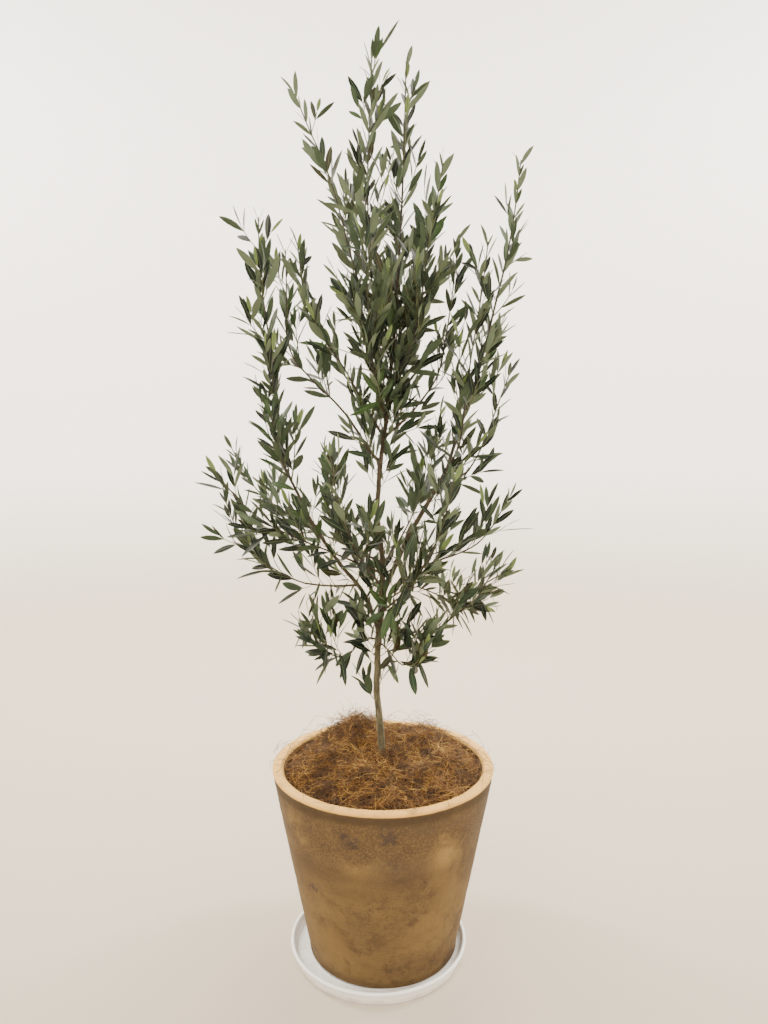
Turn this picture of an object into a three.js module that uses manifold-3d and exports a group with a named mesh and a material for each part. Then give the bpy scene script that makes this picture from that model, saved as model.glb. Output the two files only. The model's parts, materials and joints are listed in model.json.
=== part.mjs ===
// A young olive tree in a tapered clay pot on a plastic saucer. Millimetres, +Z up. The origin is on the
// floor under the middle of the pot. Headings are degrees round the tree: 0 is right (+X), 90 is back (+Y),
// 180 is left and 270 is front. Rises are degrees above the level.
import * as THREE from "three";
import { mergeVertices } from "three/addons/utils/BufferGeometryUtils.js";
import Module from "manifold-3d";

const wasm = await Module();
wasm.setup();

const clearance = 0.3; // between solids that touch on the real plant

const saucer = {
  footRadius: 164,
  rimRadius: 173,
  height: 28,
  floor: 8,
  wall: 2.5,
  lip: 7, // width of the rolled rim
  lipDrop: 9, // height of the rolled rim
  offset: [-9, -10], // the pot doesn't stand quite in the middle
};
const pot = {
  footRadius: 145,
  rimRadius: 215,
  height: 372,
  wall: 20,
  floor: 26,
  round: 5, // the edges of the rim and foot
};
const filling = {
  soilBelowRim: 34,
  edgeBelowRim: 12, // where the coir meets the wall
  crown: 20, // rise of the coir towards the trunk
  tuft: { x: -34, y: 92, height: 30, spread: 52 }, // loose coir heaped behind the trunk
  lump: 5, // height of the lumps all over it
  lumpSize: [19, 23, 9, 12], // of the broad lumps and the small ones, across and back
  rings: [0.94, 0.8, 0.65, 0.5, 0.34, 0.17, 0], // of its top, as shares of its radius
  sides: 24,
};
const trunk = {
  topHeight: 1300,
  footRadius: 7.2,
  topRadius: 2.6,
  flare: 5, // extra radius at the ground
  flareHeight: 34,
  // sideways lean, in even steps from the ground to the top
  lean: [-2, -4, -12, -10, -2, -1, -11, -6, 6, 14, 22, 27],
  leanBack: [0, 1, 3, 4, 2, 0, -2, -3, -1, 2, 3, 2],
  runs: 22,
  sides: 8,
};
const leaf = {
  length: 76,
  width: 22,
  thickness: 2.2,
  widest: 0.48, // share of its length
  sunk: 0.3, // its root past the middle of the twig
  angle: 36, // from its twig, give or take the share below
  angleVaries: 0.3,
  roll: 45, // of the first pair of a twig
  rollVaries: 20,
  size: [0.8, 1.1], // smallest and largest, as shares of the length and width
  gap: 32, // between pairs of leaves
  onStem: 0.75, // chance of each leaf of a stem
  tip: { at: 0.985, angle: 9 }, // the single leaf that ends a twig
  apart: 26, // least distance between the middles of two leaves
};
const twig = {
  share: 0.6, // of its stem's radius
  tipRadius: 0.9,
  chance: 0.72, // that a bud of a pair grows
  spread: 38, // from its stem, give or take the share below
  spreadVaries: 0.25,
  rollVaries: 25,
  size: [0.8, 1.4], // shortest and longest, as shares of the space that twigs keep to
  sizeAlong: [1.25, 0.35], // how that changes from the foot of the stem to its tip
  last: 0.88, // share of the stem above which none grow
  lift: 0.34, // how much each step turns up
  step: 26,
  reach: 0.62, // share of the mass's reach that twigs keep to
  shortest: 40,
};
const growth = {
  seed: 313,
  nodeGap: 80, // between pairs of side twigs along a stem
  firstNode: 0.4, // of that gap, above the bare foot
  bare: 16, // leafless foot of a stem or twig
  stemTip: 1.5, // radius at the end of a stem
};
const roundSides = 36; // of the pot and what fits in it
const taper = 0.28; // share of its radius that a bough loses to its tip
const limbStep = 36; // length of each straight run of a limb
const sides = { bough: 5, thickBough: 6, twig: 3 };
const thickBough = 4; // radius above which a bough has the more sides
const room = { masses: 2.2, limbs: 2.4 }; // kept between a mass and its neighbours

// Each limb leaves the trunk at a height, or another bough at a distance along it, turns through its
// headings and rises in even steps, and carries one mass of foliage whose stem grows on from its tip.
const limbs = [
  {
    name: "left_tall", on: "trunk", at: 634, radius: 4.2, length: 300,
    heading: [192], rise: [74, 69, 48, 56, 58, 70],
    foliage: { length: 480, heading: [202], rise: [62, 66, 92, 84, 83, 82, 85, 92], reach: 96 },
  },
  {
    name: "left_low", on: "left_tall", at: 106, radius: 2.3, length: 100, heading: [182], rise: [-5, 2, 10],
    foliage: { length: 200, heading: [180], rise: [16, 28, 38, 46, 62, 76], reach: 88 },
  },
  {
    name: "left_front", on: "trunk", at: 752, radius: 2.6, length: 96, heading: [208], rise: [25],
    foliage: { length: 262, heading: [208, 212], rise: [25, 24, 28, 42, 52], reach: 96 },
  },
  {
    name: "left_back", on: "trunk", at: 773, radius: 2.5, length: 104, heading: [152], rise: [18, 20],
    foliage: { length: 294, heading: [152, 156], rise: [16, 20, 24, 36, 48, 64], reach: 108 },
  },
  {
    name: "low_left", on: "trunk", at: 622, radius: 2.0, length: 38, heading: [190], rise: [26, -30],
    foliage: { length: 158, heading: [210, 178], rise: [-64, -24, 66, 78, 80], reach: 96 },
  },
  {
    name: "low_right", on: "trunk", at: 618, radius: 2.0, length: 46, heading: [308], rise: [-10, -30],
    foliage: { length: 110, heading: [296, 340], rise: [-34, 0, 66, 80], reach: 96 },
  },
  {
    name: "right_low", on: "trunk", at: 654, radius: 2.3, length: 92, heading: [346], rise: [-14, -6],
    foliage: { length: 158, heading: [346, 352], rise: [18, 42, 42, 38, 52, 74], reach: 88 },
  },
  {
    name: "right_droop", on: "trunk", at: 690, radius: 2.1, length: 84, heading: [28], rise: [38, 2],
    foliage: { length: 132, heading: [24, 14], rise: [-22, -26, -24, 0], reach: 98 },
  },
  {
    name: "right_tall", on: "trunk", at: 708, radius: 5.2, length: 274,
    heading: [2], rise: [67, 67, 65, 59, 60, 64],
    foliage: { length: 546, heading: [8, 4], rise: [74, 72, 70, 76, 77, 76, 79, 82, 85], reach: 84 },
  },
  {
    name: "right_upper", on: "right_tall", at: 250, radius: 2.6, length: 84, heading: [306], rise: [44, 62],
    foliage: { length: 326, heading: [316, 350], rise: [78, 84, 82, 80, 82, 84], reach: 90 },
  },
  {
    name: "right_outer", on: "right_tall", at: 222, radius: 2.6, length: 84, heading: [24], rise: [20, 36],
    foliage: { length: 176, heading: [20, 12], rise: [52, 64, 68, 70, 68], reach: 80 },
  },
  {
    name: "right_mid", on: "trunk", at: 690, radius: 2.6, length: 120, heading: [334], rise: [52, 44, 36],
    foliage: { length: 186, heading: [336, 344], rise: [24, 20, 30, 54, 64], reach: 84 },
  },
  {
    name: "front_right", on: "trunk", at: 674, radius: 2.5, length: 74, heading: [298], rise: [34, 30],
    foliage: { length: 262, heading: [300, 310], rise: [32, 46, 60, 76], reach: 104 },
  },
  {
    name: "front_left", on: "trunk", at: 726, radius: 2.6, length: 74, heading: [250], rise: [32, 30],
    foliage: { length: 245, heading: [248, 238], rise: [34, 48, 62, 78], reach: 104 },
  },
  {
    name: "back_right", on: "trunk", at: 764, radius: 2.6, length: 76, heading: [60], rise: [34, 32],
    foliage: { length: 272, heading: [58, 50], rise: [36, 50, 64, 78], reach: 104 },
  },
  {
    name: "back_left", on: "trunk", at: 684, radius: 2.6, length: 78, heading: [118], rise: [34, 30],
    foliage: { length: 280, heading: [120, 128], rise: [34, 48, 62, 78], reach: 104 },
  },
  {
    name: "upper_left", on: "trunk", at: 962, radius: 3.2, length: 112, heading: [160], rise: [42, 57, 52],
    foliage: { length: 332, heading: [160, 156], rise: [50, 40, 44, 48, 80, 93, 90, 88], reach: 90 },
  },
  {
    name: "upper_left_inner", on: "trunk", at: 1010, radius: 3.0, length: 68, heading: [182], rise: [58, 60],
    foliage: { length: 284, heading: [184, 188], rise: [62, 60, 54, 60, 78, 86], reach: 90 },
  },
  {
    name: "upper_right", on: "trunk", at: 1010, radius: 3.0, length: 76, heading: [12], rise: [36, 47],
    foliage: { length: 276, heading: [14, 20], rise: [48, 56, 80, 80, 82, 84], reach: 94 },
  },
  {
    name: "crown_front", on: "trunk", at: 1046, radius: 2.6, length: 56, heading: [250], rise: [38, 46],
    foliage: { length: 310, heading: [252, 260], rise: [54, 68, 78, 84, 86], reach: 100 },
  },
  {
    name: "crown_back", on: "trunk", at: 1064, radius: 2.6, length: 58, heading: [78], rise: [40, 48],
    foliage: { length: 342, heading: [78, 86], rise: [54, 66, 78, 84, 86], reach: 100 },
  },
  {
    name: "crown_front_right", on: "trunk", at: 1096, radius: 2.4, length: 52, heading: [308], rise: [40, 48],
    foliage: { length: 240, heading: [308, 314], rise: [54, 70, 80, 84], reach: 96 },
  },
  {
    name: "crown_back_left", on: "trunk", at: 1112, radius: 2.4, length: 54, heading: [132], rise: [48, 56],
    foliage: { length: 312, heading: [134, 142], rise: [62, 70, 78, 84], reach: 94 },
  },
  {
    name: "top_left", on: "trunk", at: 1150, radius: 2.6, length: 128, heading: [188], rise: [60, 66, 70],
    foliage: { length: 336, heading: [188, 184], rise: [72, 74, 76, 72, 64, 68], reach: 86 },
  },
  {
    name: "second_leader", on: "trunk", at: 1182, radius: 2.4, length: 80, heading: [226], rise: [48, 62],
    foliage: { length: 390, heading: [206, 184], rise: [76, 86, 90, 90, 96, 88], reach: 88 },
  },
  {
    name: "top_right", on: "trunk", at: 1240, radius: 2.0, length: 48, heading: [34], rise: [48, 54],
    foliage: { length: 212, heading: [20, 0], rise: [62, 74, 76, 82], reach: 90 },
  },
  { name: "leader", foliage: { length: 344, heading: [0], rise: [86, 88, 89], reach: 84 } },
];

const finishes = {
  saucer: { color: "#eeedea", roughness: 0.35 },
  pot: { color: "#b39a78", roughness: 0.85 },
  soil: { color: "#3b2c20", roughness: 1 },
  coir: { color: "#8f6a3c", roughness: 1 },
  bark: { color: "#85755f", roughness: 0.8 },
  leaves: { color: "#5f6f55", roughness: 0.55 },
};

// of the usual linear congruential run of random numbers
const draw = { spread: 2654435761, multiply: 1664525, add: 1013904223, range: 2 ** 32 };
const up = new THREE.Vector3(0, 0, 1);
const radians = THREE.MathUtils.degToRad;

// ---- numbers and lines ----

// A run of numbers from 0 to 1 that is the same for the same seed.
function seeded(seed) {
  let state = (seed * draw.spread) % draw.range;
  return () => {
    state = (state * draw.multiply + draw.add) % draw.range;
    return state / draw.range;
  };
}

// The value at t, from 0 to 1, of a list of values at even steps.
function along(values, t) {
  const place = Math.min(Math.max(t, 0), 1) * (values.length - 1);
  const before = Math.min(Math.floor(place), Math.max(values.length - 2, 0));
  const after = Math.min(before + 1, values.length - 1);
  return THREE.MathUtils.lerp(values[before], values[after], place - before);
}

// A change of up to the given amount either way, for a share from 0 to 1.
function varied(amount, share) {
  return amount * (2 * share - 1);
}

function direction(heading, rise) {
  const level = Math.cos(radians(rise));
  return new THREE.Vector3(
    level * Math.cos(radians(heading)),
    level * Math.sin(radians(heading)),
    Math.sin(radians(rise)),
  );
}

function lineLength(line) {
  return line.slice(1).reduce((sum, point, i) => sum + point.distanceTo(line[i]), 0);
}

// Points at even steps that leave start and turn through the headings and rises.
function limbLine(start, { heading, rise, length }) {
  const steps = Math.max(2, Math.round(length / limbStep));
  const points = [start.clone()];
  for (let i = 0; i < steps; i++) {
    const t = (i + 0.5) / steps;
    const step = direction(along(heading, t), along(rise, t)).multiplyScalar(length / steps);
    points.push(points[i].clone().add(step));
  }
  return points;
}

function pointAt(line, t) {
  const place = Math.min(Math.max(t, 0), 1) * (line.length - 1);
  const before = Math.min(Math.floor(place), line.length - 2);
  return line[before].clone().lerp(line[before + 1], place - before);
}

function directionAt(line, t) {
  const before = Math.min(Math.floor(t * (line.length - 1)), line.length - 2);
  return line[before + 1].clone().sub(line[before]).normalize();
}

// A direction square to the given one, turned round it by roll degrees.
function sideways(forward, roll) {
  const reference = Math.abs(forward.z) < 0.9 ? up : new THREE.Vector3(1, 0, 0);
  const side = reference.clone().cross(forward).normalize();
  return side.applyAxisAngle(forward, radians(roll));
}

// How far a point is from a line, and how far along the line its nearest place is, from 0 to 1.
function nearest(point, line) {
  const run = new THREE.Line3();
  const found = new THREE.Vector3();
  let best = { distance: Infinity, t: 0 };
  for (let i = 0; i + 1 < line.length; i++) {
    run.set(line[i], line[i + 1]);
    const share = run.closestPointToPointParameter(point, true);
    const distance = run.at(share, found).distanceTo(point);
    if (distance < best.distance) best = { distance, t: (i + share) / (line.length - 1) };
  }
  return best;
}

// ---- solids ----

function solidOf(geometry) {
  geometry.deleteAttribute("normal");
  geometry.deleteAttribute("uv");
  const merged = mergeVertices(geometry, 1e-4);
  return new wasm.Manifold(
    new wasm.Mesh({
      numProp: 3,
      vertProperties: new Float32Array(merged.attributes.position.array),
      triVerts: new Uint32Array(merged.index.array),
    }),
  );
}

function geometryOf(solid) {
  const mesh = solid.getMesh();
  const geometry = new THREE.BufferGeometry();
  geometry.setAttribute("position", new THREE.BufferAttribute(mesh.vertProperties, 3));
  geometry.setIndex(new THREE.BufferAttribute(mesh.triVerts, 1));
  geometry.computeVertexNormals();
  return geometry;
}

// A limb: a cylinder bent along a line, with a ring at each point of the line. Its foot is cut square to
// the direction it comes from.
function tube(line, radiusAt, count, from = directionAt(line, 0)) {
  const last = line.length - 1;
  const geometry = new THREE.CylinderGeometry(1, 1, 1, count, last);
  const position = geometry.getAttribute("position");
  const rings = [];
  let side = sideways(from, 0);
  line.forEach((centre, i) => {
    const forward = i === 0 ? from : line[Math.min(i + 1, last)].clone().sub(line[i - 1]).normalize();
    side = side.clone().addScaledVector(forward, -side.dot(forward)).normalize();
    rings.push({ centre, side, other: side.clone().cross(forward), radius: radiusAt(i / last) });
  });
  for (let i = 0; i < position.count; i++) {
    const ring = rings[Math.round((position.getY(i) + 0.5) * last)];
    const place = ring.centre
      .clone()
      .addScaledVector(ring.side, position.getX(i) * ring.radius)
      .addScaledVector(ring.other, position.getZ(i) * ring.radius);
    position.setXYZ(i, place.x, place.y, place.z);
  }
  return solidOf(geometry);
}

function latheSolid(profile, count, shape = (point) => point) {
  const geometry = new THREE.LatheGeometry(
    profile.map(([radius, height]) => new THREE.Vector2(radius, height)),
    count,
  ).rotateX(Math.PI / 2);
  const position = geometry.getAttribute("position");
  for (let i = 0; i < position.count; i++) {
    const point = shape(new THREE.Vector3().fromBufferAttribute(position, i));
    position.setXYZ(i, point.x, point.y, point.z);
  }
  return solidOf(geometry);
}

// Points round a quarter circle, from one angle to another, in degrees.
function arc(radius, height, size, from, to, steps = 2) {
  return Array.from({ length: steps + 1 }, (_, i) => {
    const angle = radians(THREE.MathUtils.lerp(from, to, i / steps));
    return [radius + size * Math.cos(angle), height + size * Math.sin(angle)];
  });
}

// ---- pot, saucer and filling ----

const potBase = saucer.floor + clearance;
const rimHeight = potBase + pot.height;
const wallSlope = (pot.rimRadius - pot.footRadius) / pot.height;
const innerRadius = (height) => pot.rimRadius - pot.wall - (rimHeight - height) * wallSlope;
const soilTop = rimHeight - filling.soilBelowRim;

function saucerSolid() {
  const { footRadius, rimRadius, height, floor, wall, lip, lipDrop } = saucer;
  const inside = rimRadius - lip;
  return latheSolid(
    [
      [0, 0],
      [footRadius, 0],
      [rimRadius - lip / 2, height - lipDrop],
      ...arc(rimRadius - lip / 2, height - lip / 2, lip / 2, -20, 160),
      [inside - 2, height - lipDrop],
      [footRadius - wall, floor + wall],
      [footRadius - 2 * wall, floor],
      [0, floor],
    ],
    roundSides,
  ).translate([...saucer.offset, 0]);
}

function potSolid() {
  const { footRadius, rimRadius, wall, floor, round } = pot;
  return latheSolid(
    [
      [0, potBase],
      [footRadius - round, potBase],
      [footRadius, potBase + round],
      ...arc(rimRadius - round, rimHeight - round, round, 0, 90),
      ...arc(rimRadius - wall + round, rimHeight - round, round, 90, 180),
      [innerRadius(potBase + floor), potBase + floor],
      [0, potBase + floor],
    ],
    roundSides,
  );
}

function soilSolid() {
  const foot = potBase + pot.floor + clearance;
  return latheSolid(
    [
      [0, foot],
      [innerRadius(foot) - 2 * clearance, foot],
      [innerRadius(soilTop) - 2 * clearance, soilTop],
      [0, soilTop],
    ],
    roundSides,
  );
}

// How far the coir stands above its edge: a low mound with a tuft behind the trunk.
function coirRise(x, y) {
  const share = Math.min(Math.hypot(x, y) / innerRadius(rimHeight), 1);
  const { tuft, crown, lump, lumpSize } = filling;
  const [broadX, broadY, smallX, smallY] = lumpSize;
  const toTuft = Math.hypot(x - tuft.x, y - tuft.y) / tuft.spread;
  const lumps = Math.sin(x / broadX + 1) * Math.cos(y / broadY) + Math.sin(x / smallX - y / smallY) / 2;
  return (1 - share * share) * (crown + lump * lumps) + tuft.height * Math.exp(-toTuft * toTuft);
}

function coirSolid() {
  const foot = soilTop + clearance;
  const edge = rimHeight - filling.edgeBelowRim;
  const outside = (height) => innerRadius(height) - 2 * clearance;
  const top = filling.rings.map((share) => [outside(edge) * share, edge + clearance]);
  const profile = [[0, foot], [outside(foot), foot], [outside(edge), edge], ...top];
  return latheSolid(profile, filling.sides, (point) => {
    if (point.z > edge) point.z += coirRise(point.x, point.y);
    return point;
  });
}

// ---- trunk and boughs ----

function trunkLine() {
  const foot = soilTop + clearance;
  return Array.from({ length: trunk.runs + 1 }, (_, i) => {
    const t = i / trunk.runs;
    const height = THREE.MathUtils.lerp(foot, trunk.topHeight, t);
    return new THREE.Vector3(along(trunk.lean, t), along(trunk.leanBack, t), height);
  });
}

function trunkRadius(t) {
  const aboveGround = t * (trunk.topHeight - soilTop);
  const flare = trunk.flare * Math.exp(-3 * (aboveGround / trunk.flareHeight));
  return THREE.MathUtils.lerp(trunk.footRadius, trunk.topRadius, t) + flare;
}

// The line and radius of every limb, with the trunk first and each bough after the one that carries it.
function layOutLimbs() {
  const made = new Map();
  made.set("trunk", { line: trunkLine(), radiusAt: trunkRadius, sides: trunk.sides });
  for (const limb of limbs) {
    if (!limb.length) continue;
    const { line } = made.get(limb.on);
    const foot = line[0].z;
    const t = limb.on === "trunk" ? (limb.at - foot) / (trunk.topHeight - foot) : limb.at / lineLength(line);
    made.set(limb.name, {
      line: limbLine(pointAt(line, t), limb),
      radiusAt: (s) => limb.radius * (1 - taper * s),
      sides: limb.radius > thickBough ? sides.thickBough : sides.bough,
      parent: limb.on,
    });
  }
  return made;
}

// A limb's solid, cut clear of the limb that carries it.
function limbSolid(limb, all) {
  const solid = tube(limb.line, limb.radiusAt, limb.sides);
  const parent = all.get(limb.parent);
  if (!parent) return solid;
  return largest(solid.subtract(tube(parent.line, (t) => parent.radiusAt(t) + clearance, parent.sides)));
}

function largest(solid) {
  return solid.decompose().sort((a, b) => b.volume() - a.volume())[0];
}

// ---- foliage ----

// Where each mass's stem runs, from just clear of its bough's tip.
function layOutStems(all) {
  return limbs.map(({ name, foliage }) => {
    const bough = all.get(name) ?? all.get("trunk");
    const from = directionAt(bough.line, 1);
    const start = bough.line.at(-1).clone().addScaledVector(from, clearance);
    return { name, line: limbLine(start, foliage), from, reach: foliage.reach, radius: bough.radiusAt(1) };
  });
}

// Whether a point lies in the mass's own space: within a share of its reach of its stem, nearer to it than
// to any other stem, and clear of every limb.
function inOwnSpace(point, share, stem, stems, all) {
  const own = nearest(point, stem.line).distance;
  if (own > stem.reach * share) return false;
  for (const other of stems)
    if (other !== stem && nearest(point, other.line).distance < own + 2 * room.masses) return false;
  for (const limb of all.values()) {
    const { distance, t } = nearest(point, limb.line);
    if (distance < limb.radiusAt(t) + room.limbs) return false;
  }
  return true;
}

// A side twig leaves its stem at an angle and bends up towards the light.
function twigLine(start, forward, length) {
  const steps = Math.max(2, Math.round(length / twig.step));
  const points = [start.clone()];
  const heading = forward.clone();
  for (let i = 0; i < steps; i++) {
    points.push(points[i].clone().addScaledVector(heading, length / steps));
    heading.addScaledVector(up, twig.lift).normalize();
  }
  return points;
}

// The side twigs of a stem: pairs of buds at even nodes, each pair a quarter turn from the last. A twig
// stops where it would leave the mass's space, and is skipped if that leaves it too short.
function sideTwigs(stem, seed, keeps) {
  const random = seeded(seed);
  const length = lineLength(stem.line);
  const nodes = Math.floor((length - growth.bare) / growth.nodeGap);
  const twigs = [];
  for (let node = 0; node < nodes; node++)
    for (const turn of [0, 180]) {
      const [bud, size, tilt, roll] = [random(), random(), random(), random()];
      const t = (growth.bare + (node + growth.firstNode) * growth.nodeGap) / length;
      if (bud > twig.chance || t > twig.last) continue;
      const forward = directionAt(stem.line, t);
      const side = sideways(forward, 90 * node + turn + varied(twig.rollVaries, roll));
      const spread = radians(twig.spread * (1 + varied(twig.spreadVaries, tilt)));
      const heading = forward.multiplyScalar(Math.cos(spread)).addScaledVector(side, Math.sin(spread));
      const wanted = stem.reach * twig.reach * along(twig.size, size) * along(twig.sizeAlong, t);
      const whole = twigLine(pointAt(stem.line, t), heading, wanted);
      const outside = whole.findIndex((point, i) => i > 0 && !keeps(point));
      const line = outside < 0 ? whole : whole.slice(0, outside);
      const radius = twig.share * THREE.MathUtils.lerp(stem.radius, growth.stemTip, t);
      if (line.length > 2 || lineLength(line) > twig.shortest) twigs.push({ line, radius });
    }
  return twigs;
}

// A leaf as a long sphere of three sides: root and tip, two edges, and a keel under the widest part.
function leafSolid({ root, forward, face, size }) {
  const geometry = new THREE.SphereGeometry(1, 3, 2);
  const position = geometry.getAttribute("position");
  const across = face.clone().cross(forward);
  for (let i = 0; i < position.count; i++) {
    const end = position.getY(i);
    const reach = Math.abs(end) > 0.5 ? (end + 1) / 2 : leaf.widest;
    const place = root
      .clone()
      .addScaledVector(forward, reach * leaf.length * size)
      .addScaledVector(across, (position.getZ(i) * leaf.width * size) / Math.sqrt(3))
      .addScaledVector(face, (position.getX(i) * leaf.thickness) / 1.5);
    position.setXYZ(i, place.x, place.y, place.z);
  }
  return solidOf(geometry);
}

// A leaf of a twig or stem at t along it, leaning out from it on the side that roll gives.
function leafPlace(line, t, roll, angle, size) {
  const stemwards = directionAt(line, t);
  const lean = radians(angle);
  const forward = stemwards
    .clone()
    .multiplyScalar(Math.cos(lean))
    .addScaledVector(sideways(stemwards, roll), Math.sin(lean));
  const face = stemwards.addScaledVector(forward, -stemwards.dot(forward)).normalize();
  const root = pointAt(line, t).addScaledVector(forward, -leaf.sunk);
  return { root, forward, face, size: along(leaf.size, size) };
}

// Where the leaves of a twig or stem sit: opposite pairs, each a quarter turn from the last, and one at
// the tip.
function leafPlaces(line, random, chance = 1) {
  const length = lineLength(line);
  const pairs = Math.max(1, Math.round((length - growth.bare) / leaf.gap));
  const places = [];
  for (let pair = 0; pair < pairs; pair++) {
    const t = (growth.bare + (pair + 0.5) * ((length - growth.bare) / pairs)) / length;
    for (const turn of [0, 180]) {
      const wanted = random() < chance;
      const roll = 90 * pair + leaf.roll + turn + varied(leaf.rollVaries, random());
      const angle = leaf.angle * (1 + varied(leaf.angleVaries, random()));
      if (wanted) places.push(leafPlace(line, t, roll, angle, random()));
    }
  }
  places.push(leafPlace(line, leaf.tip.at, 360 * random(), leaf.tip.angle, random()));
  return places;
}

// The middle, edges and tip of a leaf.
function leafPoints({ root, forward, face, size }) {
  const across = face.clone().cross(forward);
  const point = (reach, edge) =>
    root
      .clone()
      .addScaledVector(forward, reach * leaf.length * size)
      .addScaledVector(across, (edge * leaf.width) / 2);
  const nearTip = (leaf.widest + 1) / 2;
  const { widest } = leaf;
  return [point(widest, 0), point(widest, 1), point(widest, -1), point(nearTip, 0), point(1, 0)];
}

// One mass: a stem with its side twigs and leaves. What would leave its space, touch a neighbour or crowd
// another leaf is skipped.
function foliageSolid(stem, index, stems, all, neighbours) {
  const keeps = (share) => (point) => inOwnSpace(point, share, stem, stems, all);
  const clear = (solid) => neighbours.every((other) => solid.minGap(other, 1) > 2 * clearance);
  const random = seeded(2 * index + growth.seed);
  const stemRadius = (t) => THREE.MathUtils.lerp(stem.radius, growth.stemTip, t);
  const parts = [tube(stem.line, stemRadius, sides.twig, stem.from)];
  const places = leafPlaces(stem.line, random, leaf.onStem);
  for (const { line, radius } of sideTwigs(stem, 2 * index + 1 + growth.seed, keeps(twig.reach))) {
    const solid = tube(line, (t) => THREE.MathUtils.lerp(radius, twig.tipRadius, t), sides.twig);
    if (!clear(solid)) continue;
    parts.push(solid);
    places.push(...leafPlaces(line, random));
  }
  const middles = [];
  for (const place of places) {
    const points = leafPoints(place);
    if (middles.some((middle) => middle.distanceTo(points[0]) < leaf.apart)) continue;
    if (!points.every(keeps(1))) continue;
    const solid = leafSolid(place);
    if (!clear(solid)) continue;
    parts.push(solid);
    middles.push(points[0]);
  }
  return largest(wasm.Manifold.union(parts));
}

// ---- the plant ----

function mesh(name, solid, finish) {
  const made = new THREE.Mesh(geometryOf(solid), new THREE.MeshStandardMaterial(finish));
  made.name = name;
  return made;
}

const plant = new THREE.Group();
const laidOut = layOutLimbs();
const stems = layOutStems(laidOut);
const limbSolids = new Map([...laidOut].map(([name, limb]) => [name, limbSolid(limb, laidOut)]));
const trunkSleeve = tube(trunkLine(), (t) => trunkRadius(t) + clearance, trunk.sides);

plant.add(mesh("saucer", saucerSolid(), finishes.saucer));
plant.add(mesh("pot", potSolid(), finishes.pot));
plant.add(mesh("soil", soilSolid(), finishes.soil));
plant.add(mesh("coir", coirSolid().subtract(trunkSleeve), finishes.coir));
for (const [name, solid] of limbSolids)
  plant.add(mesh(name === "trunk" ? name : `bough_${name}`, solid, finishes.bark));

const foliage = [];
stems.forEach((stem, index) => {
  const solid = foliageSolid(stem, index, stems, laidOut, [...limbSolids.values(), ...foliage]);
  foliage.push(solid);
  plant.add(mesh(`foliage_${stem.name}`, solid, finishes.leaves));
});

export default plant;
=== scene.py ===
import json
import math

import bpy
import numpy as np
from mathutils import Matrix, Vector

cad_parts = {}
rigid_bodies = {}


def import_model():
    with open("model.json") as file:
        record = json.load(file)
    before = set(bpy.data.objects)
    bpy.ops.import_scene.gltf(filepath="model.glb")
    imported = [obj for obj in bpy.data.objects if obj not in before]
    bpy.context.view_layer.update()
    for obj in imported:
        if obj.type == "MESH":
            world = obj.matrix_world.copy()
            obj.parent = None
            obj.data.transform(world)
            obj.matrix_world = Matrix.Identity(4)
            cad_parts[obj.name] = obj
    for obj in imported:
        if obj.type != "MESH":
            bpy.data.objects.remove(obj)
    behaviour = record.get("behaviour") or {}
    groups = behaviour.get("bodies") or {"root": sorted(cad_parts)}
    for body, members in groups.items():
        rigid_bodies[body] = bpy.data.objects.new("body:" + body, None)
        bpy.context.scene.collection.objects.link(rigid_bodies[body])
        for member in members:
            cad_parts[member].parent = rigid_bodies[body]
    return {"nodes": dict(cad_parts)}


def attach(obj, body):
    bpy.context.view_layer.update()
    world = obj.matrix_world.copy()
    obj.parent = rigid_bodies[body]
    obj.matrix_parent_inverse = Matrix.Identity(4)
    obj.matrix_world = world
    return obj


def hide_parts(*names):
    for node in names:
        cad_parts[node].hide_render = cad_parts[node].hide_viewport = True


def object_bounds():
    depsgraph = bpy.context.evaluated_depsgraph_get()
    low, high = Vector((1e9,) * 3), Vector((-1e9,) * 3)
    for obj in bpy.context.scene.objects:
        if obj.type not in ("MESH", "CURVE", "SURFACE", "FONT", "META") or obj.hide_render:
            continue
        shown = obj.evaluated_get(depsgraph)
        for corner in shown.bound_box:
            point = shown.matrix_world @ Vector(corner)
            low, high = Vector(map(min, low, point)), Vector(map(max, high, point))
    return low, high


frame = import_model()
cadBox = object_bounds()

# A young olive tree in a weathered clay pot.
# Metres: +X right, -Y front, +Z up, origin on the floor under the pot.
scene = bpy.context.scene
up = np.array([0.0, 0.0, 1.0])
clearance = 0.0003  # between solids that touch on the real plant


def colour(code):  # a screen colour's hex code as linear red, green, blue and alpha
    parts = [int(code[i:i + 2], 16) / 255 for i in (1, 3, 5)]
    return (*(p / 12.92 if p <= 0.04045 else ((p + 0.055) / 1.055) ** 2.4 for p in parts), 1)


def addNode(tree, kind, settings=None, sockets=None):  # each socket gets a value, or a link to another node
    node = tree.nodes.new(kind)
    for key, value in (settings or {}).items():
        setattr(node, key, value)
    for key, value in (sockets or {}).items():
        if isinstance(value, bpy.types.NodeSocket):
            tree.links.new(value, node.inputs[key])
        else:
            node.inputs[key].default_value = value
    return node


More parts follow.
